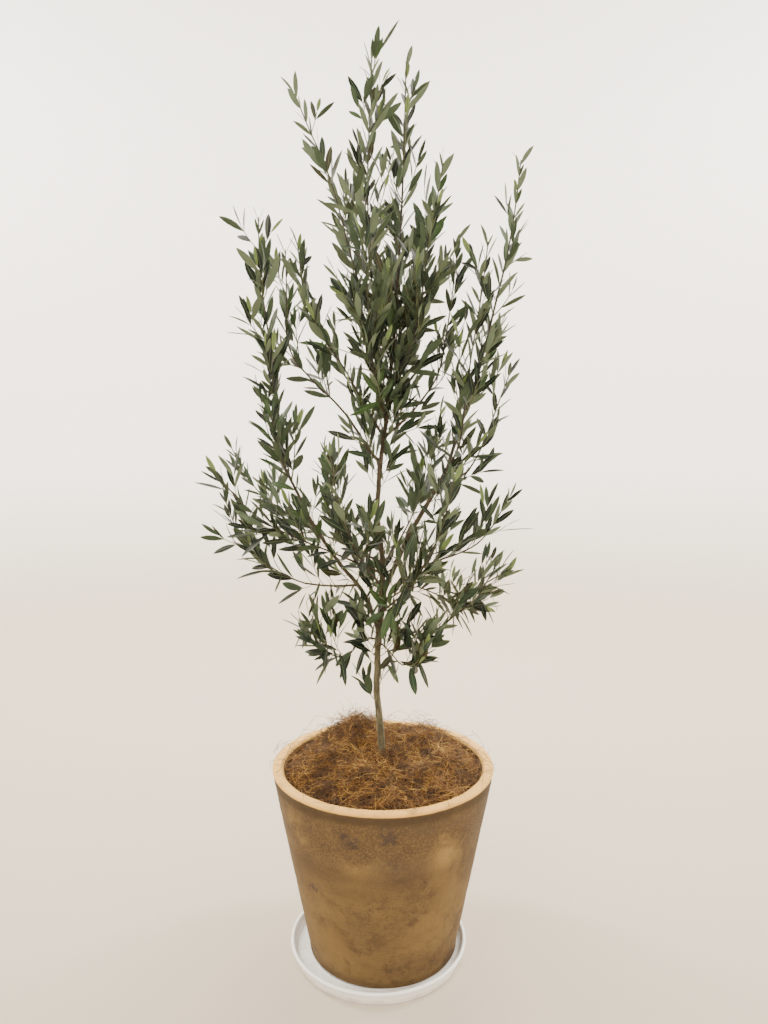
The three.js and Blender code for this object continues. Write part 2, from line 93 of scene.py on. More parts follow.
class Wire:  # an output of a node, which adds its Math nodes when it stands in a sum
    def __init__(self, shader, socket):
        self.shader, self.socket = shader, socket

    def maths(self, operation, *terms):
        return self.shader.add("ShaderNodeMath", {"operation": operation}, dict(enumerate(terms)))

    def __add__(self, other):
        return self.maths("ADD", self, other)

    def __sub__(self, other):
        return self.maths("SUBTRACT", self, other)

    def __rsub__(self, other):
        return self.maths("SUBTRACT", other, self)

    def __mul__(self, other):
        return self.maths("MULTIPLY", self, other)

    def __truediv__(self, other):
        return self.maths("DIVIDE", self, other)

    def __pow__(self, other):
        return self.maths("POWER", self, other)

    def __abs__(self):
        return self.maths("ABSOLUTE", self)

    __radd__, __rmul__ = __add__, __mul__

    def most(self, other):
        return self.maths("MAXIMUM", self, other)

    def rise(self, low, high):  # 0 below low, 1 above high, smooth between
        sockets = {"Value": self, "From Min": low, "From Max": high}
        return self.shader.add("ShaderNodeMapRange", {"interpolation_type": "SMOOTHSTEP"}, sockets)


class Shader:  # a material, and one call that adds any node to it
    def __init__(self, name):
        self.material = bpy.data.materials.new(name)
        self.material.use_nodes = True
        self.tree = self.material.node_tree
        self.tree.nodes.clear()

    def add(self, kind, settings=None, sockets=None, output=0):
        sockets = {key: getattr(value, "socket", value) for key, value in (sockets or {}).items()}
        node = addNode(self.tree, kind, settings, sockets)
        return Wire(self, node.outputs[output]) if len(node.outputs) else None

    def place(self, stretch=(1, 1, 1), shift=(0, 0, 0)):  # a spot on the object, stretched for a pattern
        spot = self.add("ShaderNodeTexCoord", output="Object")
        return self.add("ShaderNodeMapping", {}, {"Vector": spot, "Location": shift, "Scale": stretch})

    def axes(self):
        split = self.add("ShaderNodeSeparateXYZ", {}, {"Vector": self.place()})
        return [Wire(self, split.socket.node.outputs[axis]) for axis in "XYZ"]

    def noise(self, scale, detail, roughness=0.5, distortion=0.0, place=None):
        sockets = {"Vector": place or self.place(), "Scale": scale, "Detail": detail,
                   "Roughness": roughness, "Distortion": distortion}
        return self.add("ShaderNodeTexNoise", {}, sockets)

    def cells(self, scale, place=None):  # distance to the nearest of scattered points
        sockets = {"Vector": place or self.place(), "Scale": scale}
        return self.add("ShaderNodeTexVoronoi", {}, sockets, output="Distance")

    def ramp(self, share, *stops):
        made = self.add("ShaderNodeValToRGB", {}, {"Fac": share}, output="Color")
        elements = made.socket.node.color_ramp.elements
        while len(elements) < len(stops):
            elements.new(1.0)
        for element, (place, shade) in zip(elements, stops):
            element.position, element.color = place, colour(shade)
        return made

    def mix(self, share, first, second):
        return self.add("ShaderNodeMix", {"data_type": "RGBA"}, {0: share, 6: first, 7: second}, output=2)

    def coat(self, under, share, code):  # a share of one plain colour over what lies under it
        return self.mix(share, under, colour(code))

    def bump(self, height, distance, strength):
        return self.add("ShaderNodeBump", {}, {"Height": height, "Distance": distance, "Strength": strength})

    def finish(self, sockets):
        surface = self.add("ShaderNodeBsdfPrincipled", {}, sockets)
        self.add("ShaderNodeOutputMaterial", {}, {"Surface": surface})
        return self.material


def meshOf(name, points, faces, materials, kinds=None):
    data = bpy.data.meshes.new(name)
    data.from_pydata(np.asarray(points).tolist(), [], faces)
    for material in materials:
        data.materials.append(material)
    if kinds is not None:
        data.polygons.foreach_set("material_index", np.asarray(kinds, dtype=np.int32))
    data.polygons.foreach_set("use_smooth", np.ones(len(data.polygons), dtype=bool))
    data.update()
    piece = bpy.data.objects.new(name, data)
    scene.collection.objects.link(piece)
    return piece


def dress(piece, slot, *nodes):  # the piece rides on the plant and stands for the named solids
    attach(piece, "root")
    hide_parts(*nodes)


def turned(profile, turns):  # points and faces of a profile spun round Z; it starts and ends on the axis
    angles = np.arange(turns) * 2 * math.pi / turns
    radius, height = np.array(profile[1:-1]).T
    points = np.stack([np.outer(radius, np.cos(angles)), np.outer(radius, np.sin(angles)),
                       np.repeat(height[:, None], turns, 1)], -1).reshape(-1, 3)
    points = np.vstack([points, [[0, 0, profile[0][1]], [0, 0, profile[-1][1]]]])
    rings, first, last = len(radius), len(points) - 2, len(points) - 1
    faces = []
    for j in range(turns):
        k = (j + 1) % turns
        faces.append((first, k, j))
        faces += [(i + j, i + k, i + turns + k, i + turns + j) for i in range(0, (rings - 1) * turns, turns)]
        faces.append((last, (rings - 1) * turns + j, (rings - 1) * turns + k))
    return points, faces


def arc(radius, height, size, start, end, steps):  # part of a circle, in degrees
    angles = np.radians(np.linspace(start, end, steps + 1))
    return [(radius + size * math.cos(a), height + size * math.sin(a)) for a in angles]


def run(*corners, step=0.006):  # straight lines through the corners, cut into short steps
    points = [corners[0]]
    for a, b in zip(corners, corners[1:]):
        count = max(1, round(math.dist(a, b) / step))
        start, span = np.array(a), np.array(b) - np.array(a)
        points += [tuple(start + span * i / count) for i in range(1, count + 1)]
    return points


def wavy(points, size, seed, waves=7):  # a smooth field of lumps about that size, mostly from -1 to 1
    rng = np.random.default_rng(seed)
    total = np.zeros(len(points))
    for _ in range(waves):
        heading = rng.normal(size=3)
        heading *= rng.uniform(0.7, 1.5) * 2 * math.pi / size / np.linalg.norm(heading)
        total += np.sin(points @ heading + rng.uniform(0, 2 * math.pi))
    return total / (waves / 2)


def unit(vector):
    return vector / np.linalg.norm(vector)


def turnedRound(vector, axis, degrees):
    angle = math.radians(degrees)
    return (vector * math.cos(angle) + np.cross(axis, vector) * math.sin(angle)
            + axis * (axis @ vector) * (1 - math.cos(angle)))


def sideways(forward, roll):
    reference = up if abs(forward[2]) < 0.9 else np.array([1.0, 0, 0])
    return turnedRound(unit(np.cross(reference, forward)), forward, roll)


def smoothLine(line, step):  # a curve through the line's points, with each point's place along it
    ends = np.vstack([2 * line[0] - line[1], line, 2 * line[-1] - line[-2]])
    points, places = [], []
    for i in range(len(line) - 1):
        a, b, c, d = ends[i:i + 4]
        count = max(1, round(np.linalg.norm(c - b) / step))
        for u in np.arange(count) / count:
            bend = (3 * b - a - 3 * c + d) * u ** 3
            points.append(0.5 * (2 * b + (c - a) * u + (2 * a - 5 * b + 4 * c - d) * u ** 2 + bend))
            places.append((i + u) / (len(line) - 1))
    return np.array([*points, line[-1]]), np.array([*places, 1.0])


def tube(line, radii, sides):  # a ring at each point of the line, closed at both ends
    steps = np.diff(line, axis=0)
    forwards = np.vstack([steps[:1], steps[:-1] + steps[1:], steps[-1:]])
    side = sideways(unit(forwards[0]), 0)
    angles = np.arange(sides) * 2 * math.pi / sides
    rings, outward = [], []
    for centre, forward, radius in zip(line, forwards, radii):
        forward = unit(forward)
        side = unit(side - forward * (side @ forward))
        spokes = np.outer(np.cos(angles), side) + np.outer(np.sin(angles), np.cross(forward, side))
        rings.append(centre + spokes * radius)
        outward.append(spokes)
    points = np.vstack(rings)
    last = (len(line) - 1) * sides
    faces = [(i + j, i + (j + 1) % sides, i + sides + (j + 1) % sides, i + sides + j)
             for i in range(0, last, sides) for j in range(sides)]
    faces += [tuple(range(sides - 1, -1, -1)), tuple(range(last, last + sides))]
    return points, faces, np.vstack(outward)


class Pile:  # shapes joined into one mesh
    def __init__(self):
        self.points, self.faces, self.kinds, self.count = [], [], [], 0

    def put(self, points, faces, kinds=0):  # one kind for all the faces, or one each
        self.points.append(points)
        self.faces += [tuple(v + self.count for v in face) for face in faces]
        self.kinds += [kinds] * len(faces) if isinstance(kinds, int) else kinds
        self.count += len(points)

    def mesh(self, name, materials):
        return meshOf(name, np.vstack(self.points), self.faces, materials, self.kinds)


studio = {  # a pale floor that curves up into a backdrop, with its lamps and camera
    "floor": "#cfc3b1", "backdrop": "#fffdf9", "paleAbove": 0.9,
    "coveRadius": 3.6, "coveBend": 1.2, "coveHeight": 6.0, "coveTurns": 96,
    "air": "#fffaf3", "airStrength": 0.95,
    "lamps": [  # place, aim, width, watts, colour
        ((-1.3, -2.1, 2.9), (0, 0, 0.9), 1.5, 40, "#fff6ea"),
        ((2.1, -1.7, 1.8), (0, 0, 0.7), 1.9, 16, "#fff8ef"),
        ((0.5, -2.0, 0.9), (0, 0, 0.05), 0.8, 9, "#fffaf4"),
        ((0.5, 1.7, 2.9), (0, 0, 1.2), 1.7, 30, "#fffaf4"),
        ((-2.0, 0.9, 2.9), (0.3, 3.6, 1.4), 1.5, 160, "#fffaf2"),  # these two light the backdrop
        ((2.0, 0.9, 2.9), (-0.3, 3.6, 1.4), 1.5, 160, "#fffaf2"),
    ],
    "eye": (0.002, -1.478, 1.038), "pitch": 83.5, "lens": 27.73,
}


def buildFloor():
    shader = Shader("palePaint")
    height = shader.axes()[2]
    pale = height.rise(0.0, studio["paleAbove"])
    paint = shader.mix(pale, colour(studio["floor"]), colour(studio["backdrop"]))
    floorPaint = shader.finish({"Base Color": paint, "Roughness": 0.85})
    radius, bend, top = studio["coveRadius"], studio["coveBend"], studio["coveHeight"]
    curve = arc(radius - bend, bend, bend, -90, 0, 16)
    points, faces = turned([(0, 0), (radius - bend, 0), *curve, (radius, top), (0, top)], studio["coveTurns"])
    keep = [f for f in faces if len(points) - 1 not in f]  # the cove is open at the top
    floor = meshOf("floor", points, keep, [floorPaint])
    floor.data.flip_normals()


def buildLights():
    world = bpy.data.worlds.new("air")
    world.use_nodes = True
    air = world.node_tree.nodes["Background"]
    air.inputs["Color"].default_value = colour(studio["air"])
    air.inputs["Strength"].default_value = studio["airStrength"]
    scene.world = world
    for i, (place, aim, width, watts, shade) in enumerate(studio["lamps"]):
        lamp = bpy.data.lights.new(f"lamp{i + 1}", "AREA")
        lamp.shape, lamp.size, lamp.energy, lamp.color = "DISK", width, watts, colour(shade)[:3]
        stand = bpy.data.objects.new(lamp.name, lamp)
        stand.location = place
        stand.rotation_euler = (Vector(aim) - Vector(place)).to_track_quat("-Z", "Y").to_euler()
        scene.collection.objects.link(stand)


def buildCamera():
    camera = bpy.data.cameras.new("camera")
    camera.lens, camera.sensor_width = studio["lens"], 36
    holder = bpy.data.objects.new("camera", camera)
    holder.location, holder.rotation_euler = studio["eye"], (math.radians(studio["pitch"]), 0, 0)
    scene.collection.objects.link(holder)
    scene.camera = holder


buildFloor()
buildLights()
buildCamera()
print("studio and camera")


saucer = {
    "footRadius": 0.164, "rimRadius": 0.173, "height": 0.028, "floor": 0.008, "wall": 0.0025,
    "lip": 0.007, "lipDrop": 0.009, "offset": (-0.009, -0.010), "turns": 144,
    "edge": 0.002, "corner": 0.003, "ridge": 0.0018,  # roundings outside and inside, and a ring on the floor
    "plastic": "#fbfaf8", "dust": "#d3c9b8",
}
pot = {
    "footRadius": 0.145, "rimRadius": 0.215, "height": 0.372, "wall": 0.020, "floor": 0.026, "round": 0.005,
    "turns": 160, "wobble": 0.0007, "rimDips": 0.0006,
    "clay": "#5a4426", "paleClayAndLight": "#a58446", "smearAndShade": "#3d2c17", "haze": "#4c3b26", "bandAndShade": "#38280f",
    "rim": "#ebb75c", "rimWorn": "#b0863f", "bare": "#3d2f24", "pit": "#2f2317",
    "collar": 0.026, "collarDepth": 0.0012,  # the wall draws in a little under the rim
    "chips": [  # where the clay has flaked off: x, height, size
        (-0.053, 0.319, 0.021), (0.010, 0.330, 0.024), (-0.066, 0.331, 0.013), (-0.128, 0.196, 0.015),
    ],
    "clouds": [  # darker patches of slip: x, height, width, length, strength
        (-0.105, 0.250, 0.055, 0.024, 0.40), (0.030, 0.262, 0.060, 0.045, 0.55),
        (-0.015, 0.118, 0.080, 0.050, 0.38), (0.045, 0.052, 0.070, 0.028, 0.45),
        (0.085, 0.345, 0.070, 0.018, 0.40), (-0.045, 0.210, 0.050, 0.014, 0.30),
    ],
    "lights": [  # paler patches, in the same terms
        (-0.100, 0.080, 0.050, 0.080, 0.8), (0.110, 0.185, 0.035, 0.110, 0.7),
        (-0.030, 0.240, 0.060, 0.045, 0.35), (0.060, 0.120, 0.035, 0.035, 0.4),
    ],
    # how fine each pattern is: a bigger number makes smaller spots; slip is wiped on in strokes, and the
    # wheel leaves faint level lines
    "fineness": {
        "clouds": 4.6, "drift": 7.0, "strokes": 13, "mottle": 38, "wheel": 110, "grain": 240, "speckle": 440,
        "flaky": 165, "ragged": 105, "flecks": 34, "pits": 150,
    },
    "hairlines": [-15.6, 168.5, 96.0],  # headings of the fine cracks across the rim
}


def saucerPlastic():
    shader = Shader("saucerPlastic")
    z = shader.axes()[2]
    grime = shader.noise(38, 6, 0.6) * (1 - z.rise(0.006, 0.020)) + 0.25 * shader.noise(9, 5).rise(0.55, 0.8)
    shade = shader.mix(grime.rise(0.30, 0.9), colour(saucer["plastic"]), colour(saucer["dust"]))
    return shader.finish({
        "Base Color": shade,
        "Roughness": 0.30 + 0.16 * shader.noise(60, 3) + 0.2 * grime,
        "Normal": shader.bump(shader.noise(420, 2), 0.0002, 0.35),
    })


def buildSaucer():
    foot, rim, height, lip = (saucer[k] for k in ("footRadius", "rimRadius", "height", "lip"))
    wall, floor, drop, edge, corner = (saucer[k] for k in ("wall", "floor", "lipDrop", "edge", "corner"))
    inside = rim - lip
    profile = [
        (0, 0), (foot - 0.012, 0), (foot - 0.003, 0), *arc(foot - edge, edge, edge, -90, -20, 4),
        *run((foot + 0.0006, 2 * edge), (rim - lip / 2, height - drop)),
        *arc(rim - lip / 2, height - lip / 2, lip / 2, -60, 180, 14),
        *run((inside, height - drop), (foot - wall, floor + wall)),
        *arc(foot - wall - corner, floor + corner, corner, 0, -90, 5),
        *run((foot - 0.010, floor), (foot - 0.026, floor)),
        *arc(foot - 0.030, floor - 0.001, saucer["ridge"], 40, 140, 4),
        *run((foot - 0.034, floor), (0.02, floor), step=0.02), (0, floor),
    ]
    points, faces = turned(profile, saucer["turns"])
    points[:, :2] += saucer["offset"]
    dress(meshOf("saucer_dish", points, faces, [saucerPlastic()]), "saucer", "saucer")


potBase = saucer["floor"] + clearance
rimHeight = potBase + pot["height"]


def innerRadius(height):
    taper = (rimHeight - height) * (pot["rimRadius"] - pot["footRadius"]) / pot["height"]
    return pot["rimRadius"] - pot["wall"] - taper


def patchesOfSlip(x, z, front, soft):  # the share and the colour of each patch in the pot's lists
    for patches, tint in [("lights", "paleClayAndLight"), ("clouds", "haze")]:
        for patchX, patchZ, width, length, strength in pot[patches]:
            away = (((x - patchX) / width) ** 2 + ((z - patchZ) / length) ** 2) ** 0.5 + soft
            yield strength * front * (1 - away.rise(0.35, 1.30)), pot[tint]


def flakedClay(shader, x, z, front, mottle):  # chips with ragged edges, and a few small flecks
    fine = pot["fineness"]
    flaky = shader.noise(fine["flaky"], 4, 0.7).rise(0.46, 0.51)
    ragged = 0.030 * (shader.noise(fine["ragged"], 5, 0.75, 1.0) - 0.5) + 0.014 * (mottle - 0.5)
    flaked = None
    for chipX, chipZ, size in pot["chips"]:
        away = ((x - chipX) ** 2 + (z - chipZ) ** 2) ** 0.5 + ragged
        heart = 1 - away.rise(0.20 * size, 0.32 * size)
        patch = front * (1 - away.rise(0.50 * size, 0.72 * size)) * flaky.most(heart)
        flaked = flaked.most(patch) if flaked else patch
    flecks = (1 - shader.cells(fine["flecks"]).rise(0.05, 0.075)) * shader.noise(7, 2).rise(0.5, 0.6)
    return flaked.most(0.8 * flecks)


def rimCracks(shader, heading, z):  # hairlines that cross the rim
    cracks = None
    for turn in pot["hairlines"]:
        off = abs(heading - math.radians(turn) + 0.02 * (shader.noise(120, 3) - 0.5))
        line = 1 - off.rise(0.0015, 0.0045)
        cracks = cracks.most(line) if cracks else line
    return cracks * z.rise(rimHeight - 0.012, rimHeight - 0.004)


def weatheredClay():
    shader = Shader("weatheredClay")
    fine = pot["fineness"]
    x, y, z = shader.axes()
    heading = shader.add("ShaderNodeMath", {"operation": "ARCTAN2"}, {0: y, 1: x})
    span = (x * x + y * y) ** 0.5
    clouds = shader.noise(fine["clouds"], 6, 0.55, 0.5, shader.place((1, 1, 1.3)))
    drift = shader.noise(fine["drift"], 5, 0.60, 1.0, shader.place((1, 1, 0.7), (3, 1, 2)))
    strokes = shader.noise(fine["strokes"], 5, 0.60, 1.2, shader.place((0.8, 0.8, 1.0), (1, 5, 0)))
    mottle = shader.noise(fine["mottle"], 7, 0.75)
    turning = shader.noise(fine["wheel"], 4, 0.7, 0.6, shader.place((0.22, 0.22, 1.5)))
    grain = shader.noise(fine["grain"], 4, 0.7)
    speckle = shader.noise(fine["speckle"], 3, 0.7)
    low = 1 - (z + 0.2 * (clouds - 0.5)).rise(0.12, 0.30)
    shade = shader.mix(0.85 * low, colour(pot["clay"]), colour(pot["paleClayAndLight"]))  # painted light low on the pot where the saucer and floor shade it, painted shade above where the lamps fall strongest
    coats = [
        (0.60 * (clouds + 0.5 * (mottle - 0.5)).rise(0.48, 0.66), pot["paleClayAndLight"]),
        (0.75 * (drift + 0.4 * (mottle - 0.5)).rise(0.49, 0.64), pot["haze"]),
        (0.42 * (strokes + 0.4 * (mottle - 0.5)).rise(0.51, 0.62), pot["smearAndShade"]),
        (0.55 * mottle.rise(0.50, 0.66), pot["haze"]),
        (0.30 * turning.rise(0.48, 0.70), pot["smearAndShade"]),
        (0.42 * grain.rise(0.43, 0.74), pot["paleClayAndLight"]),
        (0.55 * speckle.rise(0.50, 0.66), pot["smearAndShade"]),
        # painted shade: the upper part darker, where the lamps from above fall strongest
        (0.34 * (z + 0.1 * (clouds - 0.5)).rise(0.22, 0.34), pot["smearAndShade"]),
    ]
    front = 1 - y.rise(-0.10, -0.05)
    coats += patchesOfSlip(x, z, front, 1.6 * (strokes - 0.5) + 1.4 * (mottle - 0.5))
    belowRim = rimHeight - pot["collar"]
    damp = 1 - (z + 0.03 * (shader.noise(14, 4) - 0.5)).rise(0.012, 0.030)  # the foot stays darker
    coats += [
        # a dark band under the rim: partly the pot's own colour, partly painted shade under the lip
        (0.75 * (z + 0.006 * (mottle - 0.5)).rise(belowRim - 0.006, belowRim + 0.008), pot["bandAndShade"]),
        (0.45 * damp, pot["smearAndShade"]),
    ]
    for share, tint in coats:
        shade = shader.coat(shade, share, tint)
    edge = (z + 0.003 * (shader.noise(60, 5, 0.7) - 0.5)).rise(rimHeight - 0.0085, rimHeight - 0.0055)
    worn = shader.mix(shader.noise(30, 6, 0.65).rise(0.48, 0.78), colour(pot["rim"]), colour(pot["rimWorn"]))
    shade = shader.mix(edge, shade, worn)
    # painted shade on the pot's inner wall below the rim
    inside = 1 - span.rise(0.188, 0.196)
    inside = 0.6 * inside * (1 - z.rise(rimHeight - 0.006, rimHeight))
    flaked = flakedClay(shader, x, z, front, mottle)
    pits = 1 - shader.cells(fine["pits"], shader.place((1, 1, 1), (0.3, 0.1, 0))).rise(0.06, 0.14)
    pits = pits * shader.noise(14, 3).rise(0.5, 0.62)
    cracks = rimCracks(shader, heading, z)
    flaws = [(inside, "smearAndShade"), (0.85 * flaked, "bare"), (0.7 * pits, "pit"), (0.7 * cracks, "haze")]
    for share, tint in flaws:
        shade = shader.coat(shade, share, pot[tint])
    height = 0.6 * grain + 0.5 * mottle + 1.2 * strokes + 0.8 * drift - 1.4 * flaked - 1.6 * pits - cracks
    return shader.finish({
        "Base Color": shade,
        "Roughness": 0.72 + 0.2 * clouds - 0.12 * edge,
        "Normal": shader.bump(height, 0.0011, 0.75),
    })


def buildPot():
    foot, rim, wall, rounding = (pot[k] for k in ("footRadius", "rimRadius", "wall", "round"))
    inside = potBase + pot["floor"]
    lip = rimHeight - rounding
    outer, inner = rim - rounding, rim - wall + rounding
    profile = [
        (0, potBase), (foot * 0.5, potBase), *run((foot - 0.012, potBase), (foot - rounding, potBase)),
        *arc(foot - rounding + 0.001, potBase + rounding, rounding, -70, -10, 4),
        *run((foot + 0.0005, potBase + rounding + 0.002), (rim - 0.0005, lip - 0.002)),
        *arc(outer, lip, rounding, 5, 88, 7),
        *run((outer - 0.002, rimHeight + 0.0003), (inner + 0.002, rimHeight + 0.0002), step=0.003),
        *arc(inner, lip, rounding, 92, 175, 7),
        *run((innerRadius(lip - 0.002), lip - 0.002), (innerRadius(inside), inside), step=0.02),
        (0.03, inside), (0, inside),
    ]
    points, faces = turned(profile, pot["turns"])
    flat = np.hypot(points[:, 0], points[:, 1])[:, None]
    outward = points[:, :2] / np.maximum(flat, 1e-6)
    hand = wavy(points * [1, 1, 2.5], 0.16, 4)  # uneven as by hand, with finer lines round it
    hand = pot["wobble"] * hand + 0.5 * pot["wobble"] * wavy(points * [0.4, 0.4, 3], 0.03, 9)
    grown = np.clip((points[:, 2] - potBase) / 0.02, 0, 1)  # the underside stays flat
    underRim = (points[:, 2] - rimHeight + 0.5 * pot["collar"]) / (0.32 * pot["collar"])
    hand = np.abs(hand) + pot["collarDepth"] * np.exp(-underRim ** 4)
    points[:, :2] -= outward * (hand * grown * (flat[:, 0] > 0.05))[:, None]
    points[:, 2] -= pot["rimDips"] * np.abs(wavy(points, 0.05, 12)) * (points[:, 2] > lip)
    dress(meshOf("clay_pot", points, faces, [weatheredClay()]), "pot", "pot")


buildSaucer()
buildPot()
print("saucer and pot")


filling = {  # the soil, and the bed of coir on it
    "soilBelowRim": 0.034, "edgeBelowRim": 0.019, "crown": 0.025, "turns": 150,
    "tufts": [  # x, y, height, spread
        (-0.054, 0.096, 0.042, 0.058), (0.088, 0.114, 0.018, 0.052), (-0.11, -0.02, 0.006, 0.05),
    ],
    "heapedAbove": 0.006, "lump": 0.006, "lumpSize": [0.019, 0.023, 0.009, 0.012],
    "relief": [(0.0022, 0.022, 31), (0.0012, 0.009, 32)],  # depth, size, seed
    "soil": "#2c2017", "mattAndShade": "#3d2508", "mattLight": "#65461a", "gaps": "#1f1003",
}
# one tree of nodes makes each kind of fibre, and the last kind lies on the tufts only
fibres = [  # name, count, length, radius, rise, wave, looseness, seed, colour
    ("brown", 1900, 0.064, 0.00029, 0.0, 0.013, 0.002, 3, "#492e09"),
    ("gold", 1600, 0.080, 0.00034, 0.0020, 0.018, 0.003, 11, "#7a5014"),
    ("tan", 860, 0.090, 0.00037, 0.0032, 0.024, 0.005, 23, "#a1722d"),
    ("straw", 360, 0.100, 0.00041, 0.0050, 0.034, 0.009, 37, "#c89b4d"),
    ("fluff", 1100, 0.050, 0.00026, 0.007, 0.026, 0.022, 51, "#75501f"),
]
strand = {  # what all the strewn fibres share
    "points": 12, "sides": 3, "sizes": (0.55, 1.35), "tilt": (0.16, 0.24, 0.5), "combing": 13.0,
    "combedTurn": 7 * math.pi, "bends": 18.0, "swing": 3.2, "whims": 60.0, "insideRim": 0.004,
}
strays = {
    "count": 90, "seed": 8, "radius": 0.00034, "foot": [0.120, 0.180], "reach": [0.030, 0.080],
    "arch": [0.010, 0.042], "swing": 0.5, "farthest": 0.222, "shade": "#75522a",
}


def coirHeaps(x, y):
    return sum(height * np.exp(-((x - heapX) ** 2 + (y - heapY) ** 2) / spread ** 2)
               for heapX, heapY, height, spread in filling["tufts"])


def coirRise(x, y):  # a low mound with loose tufts
    share = np.minimum(np.hypot(x, y) / innerRadius(rimHeight), 1)
    broadX, broadY, smallX, smallY = filling["lumpSize"]
    lumps = np.sin(x / broadX + 1) * np.cos(y / broadY) + np.sin(x / smallX - y / smallY) / 2
    return (1 - share ** 2) * (filling["crown"] + filling["lump"] * lumps) + coirHeaps(x, y)


def darkSoil():
    shader = Shader("darkSoil")
    shade = shader.ramp(shader.noise(160, 6, 0.7), (0.3, "#1a120c"), (0.6, filling["soil"]), (0.8, "#4a3a2a"))
    crumbs = shader.bump(shader.noise(220, 5, 0.7), 0.003, 0.8)
    return shader.finish({"Base Color": shade, "Roughness": 0.95, "Normal": crumbs})


def mattedCoir():
    shader = Shader("mattedCoir")
    one = shader.noise(30, 6, 0.75, 3.0, shader.place((3.2, 0.9, 1)))
    two = shader.noise(34, 6, 0.75, 3.0, shader.place((0.9, 3.4, 1), (2, 1, 0)))
    threads = one.rise(0.36, 0.66) * two.rise(0.34, 0.66)
    # painted shade in the hollows between the threads
    shade = shader.mix(threads, colour(filling["gaps"]), colour(filling["mattAndShade"]))
    shade = shader.coat(shade, 0.6 * shader.noise(75, 5, 0.7, 1.5).rise(0.5, 0.72), filling["mattLight"])
    relief = shader.bump(one + two, 0.003, 0.9)
    return shader.finish({"Base Color": shade, "Roughness": 0.92, "Normal": relief})


def fibreSkin(name, shade):  # darker in some clumps than in others: partly the fibres' own tone, partly painted shade among the tufts
    shader = Shader(name)
    clumpToneAndShade = 0.80 * shader.noise(31, 4, 0.65, 0.8).rise(0.45, 0.57)
    dulled = shader.coat(colour(shade), clumpToneAndShade, filling["mattAndShade"])
    return shader.finish({"Base Color": dulled, "Roughness": 0.62})


def buildCoirBed():
    foot = rimHeight - filling["soilBelowRim"] + clearance
    edge = rimHeight - filling["edgeBelowRim"]
    outside = innerRadius(edge) - 2 * clearance
    above = edge + clearance
    under = run((0.05, foot), (innerRadius(foot) - 2 * clearance, foot), (outside, edge), step=0.02)
    over = run((outside - 0.002, above), (0.002, above), step=0.0024)
    points, faces = turned([(0, foot), *under, *over, (0, above)], filling["turns"])
    x, y, z = points.T
    top = z > edge
    relief = sum(depth * wavy(points, size, seed) for depth, size, seed in filling["relief"])
    fromEdge = np.clip((outside - np.hypot(x, y)) / 0.02, 0, 1)  # the relief dies out at the edge
    points[:, 2] += top * (coirRise(x, y) + relief * fromEdge)
    dress(meshOf("coir_bed", points, faces, [mattedCoir()]), "coir", "coir")
    lying = [f for f in faces if all(top[v] and math.hypot(*points[v][:2]) < outside - 0.006 for v in f)]
    return meshOf("coirTop", points, lying, [])


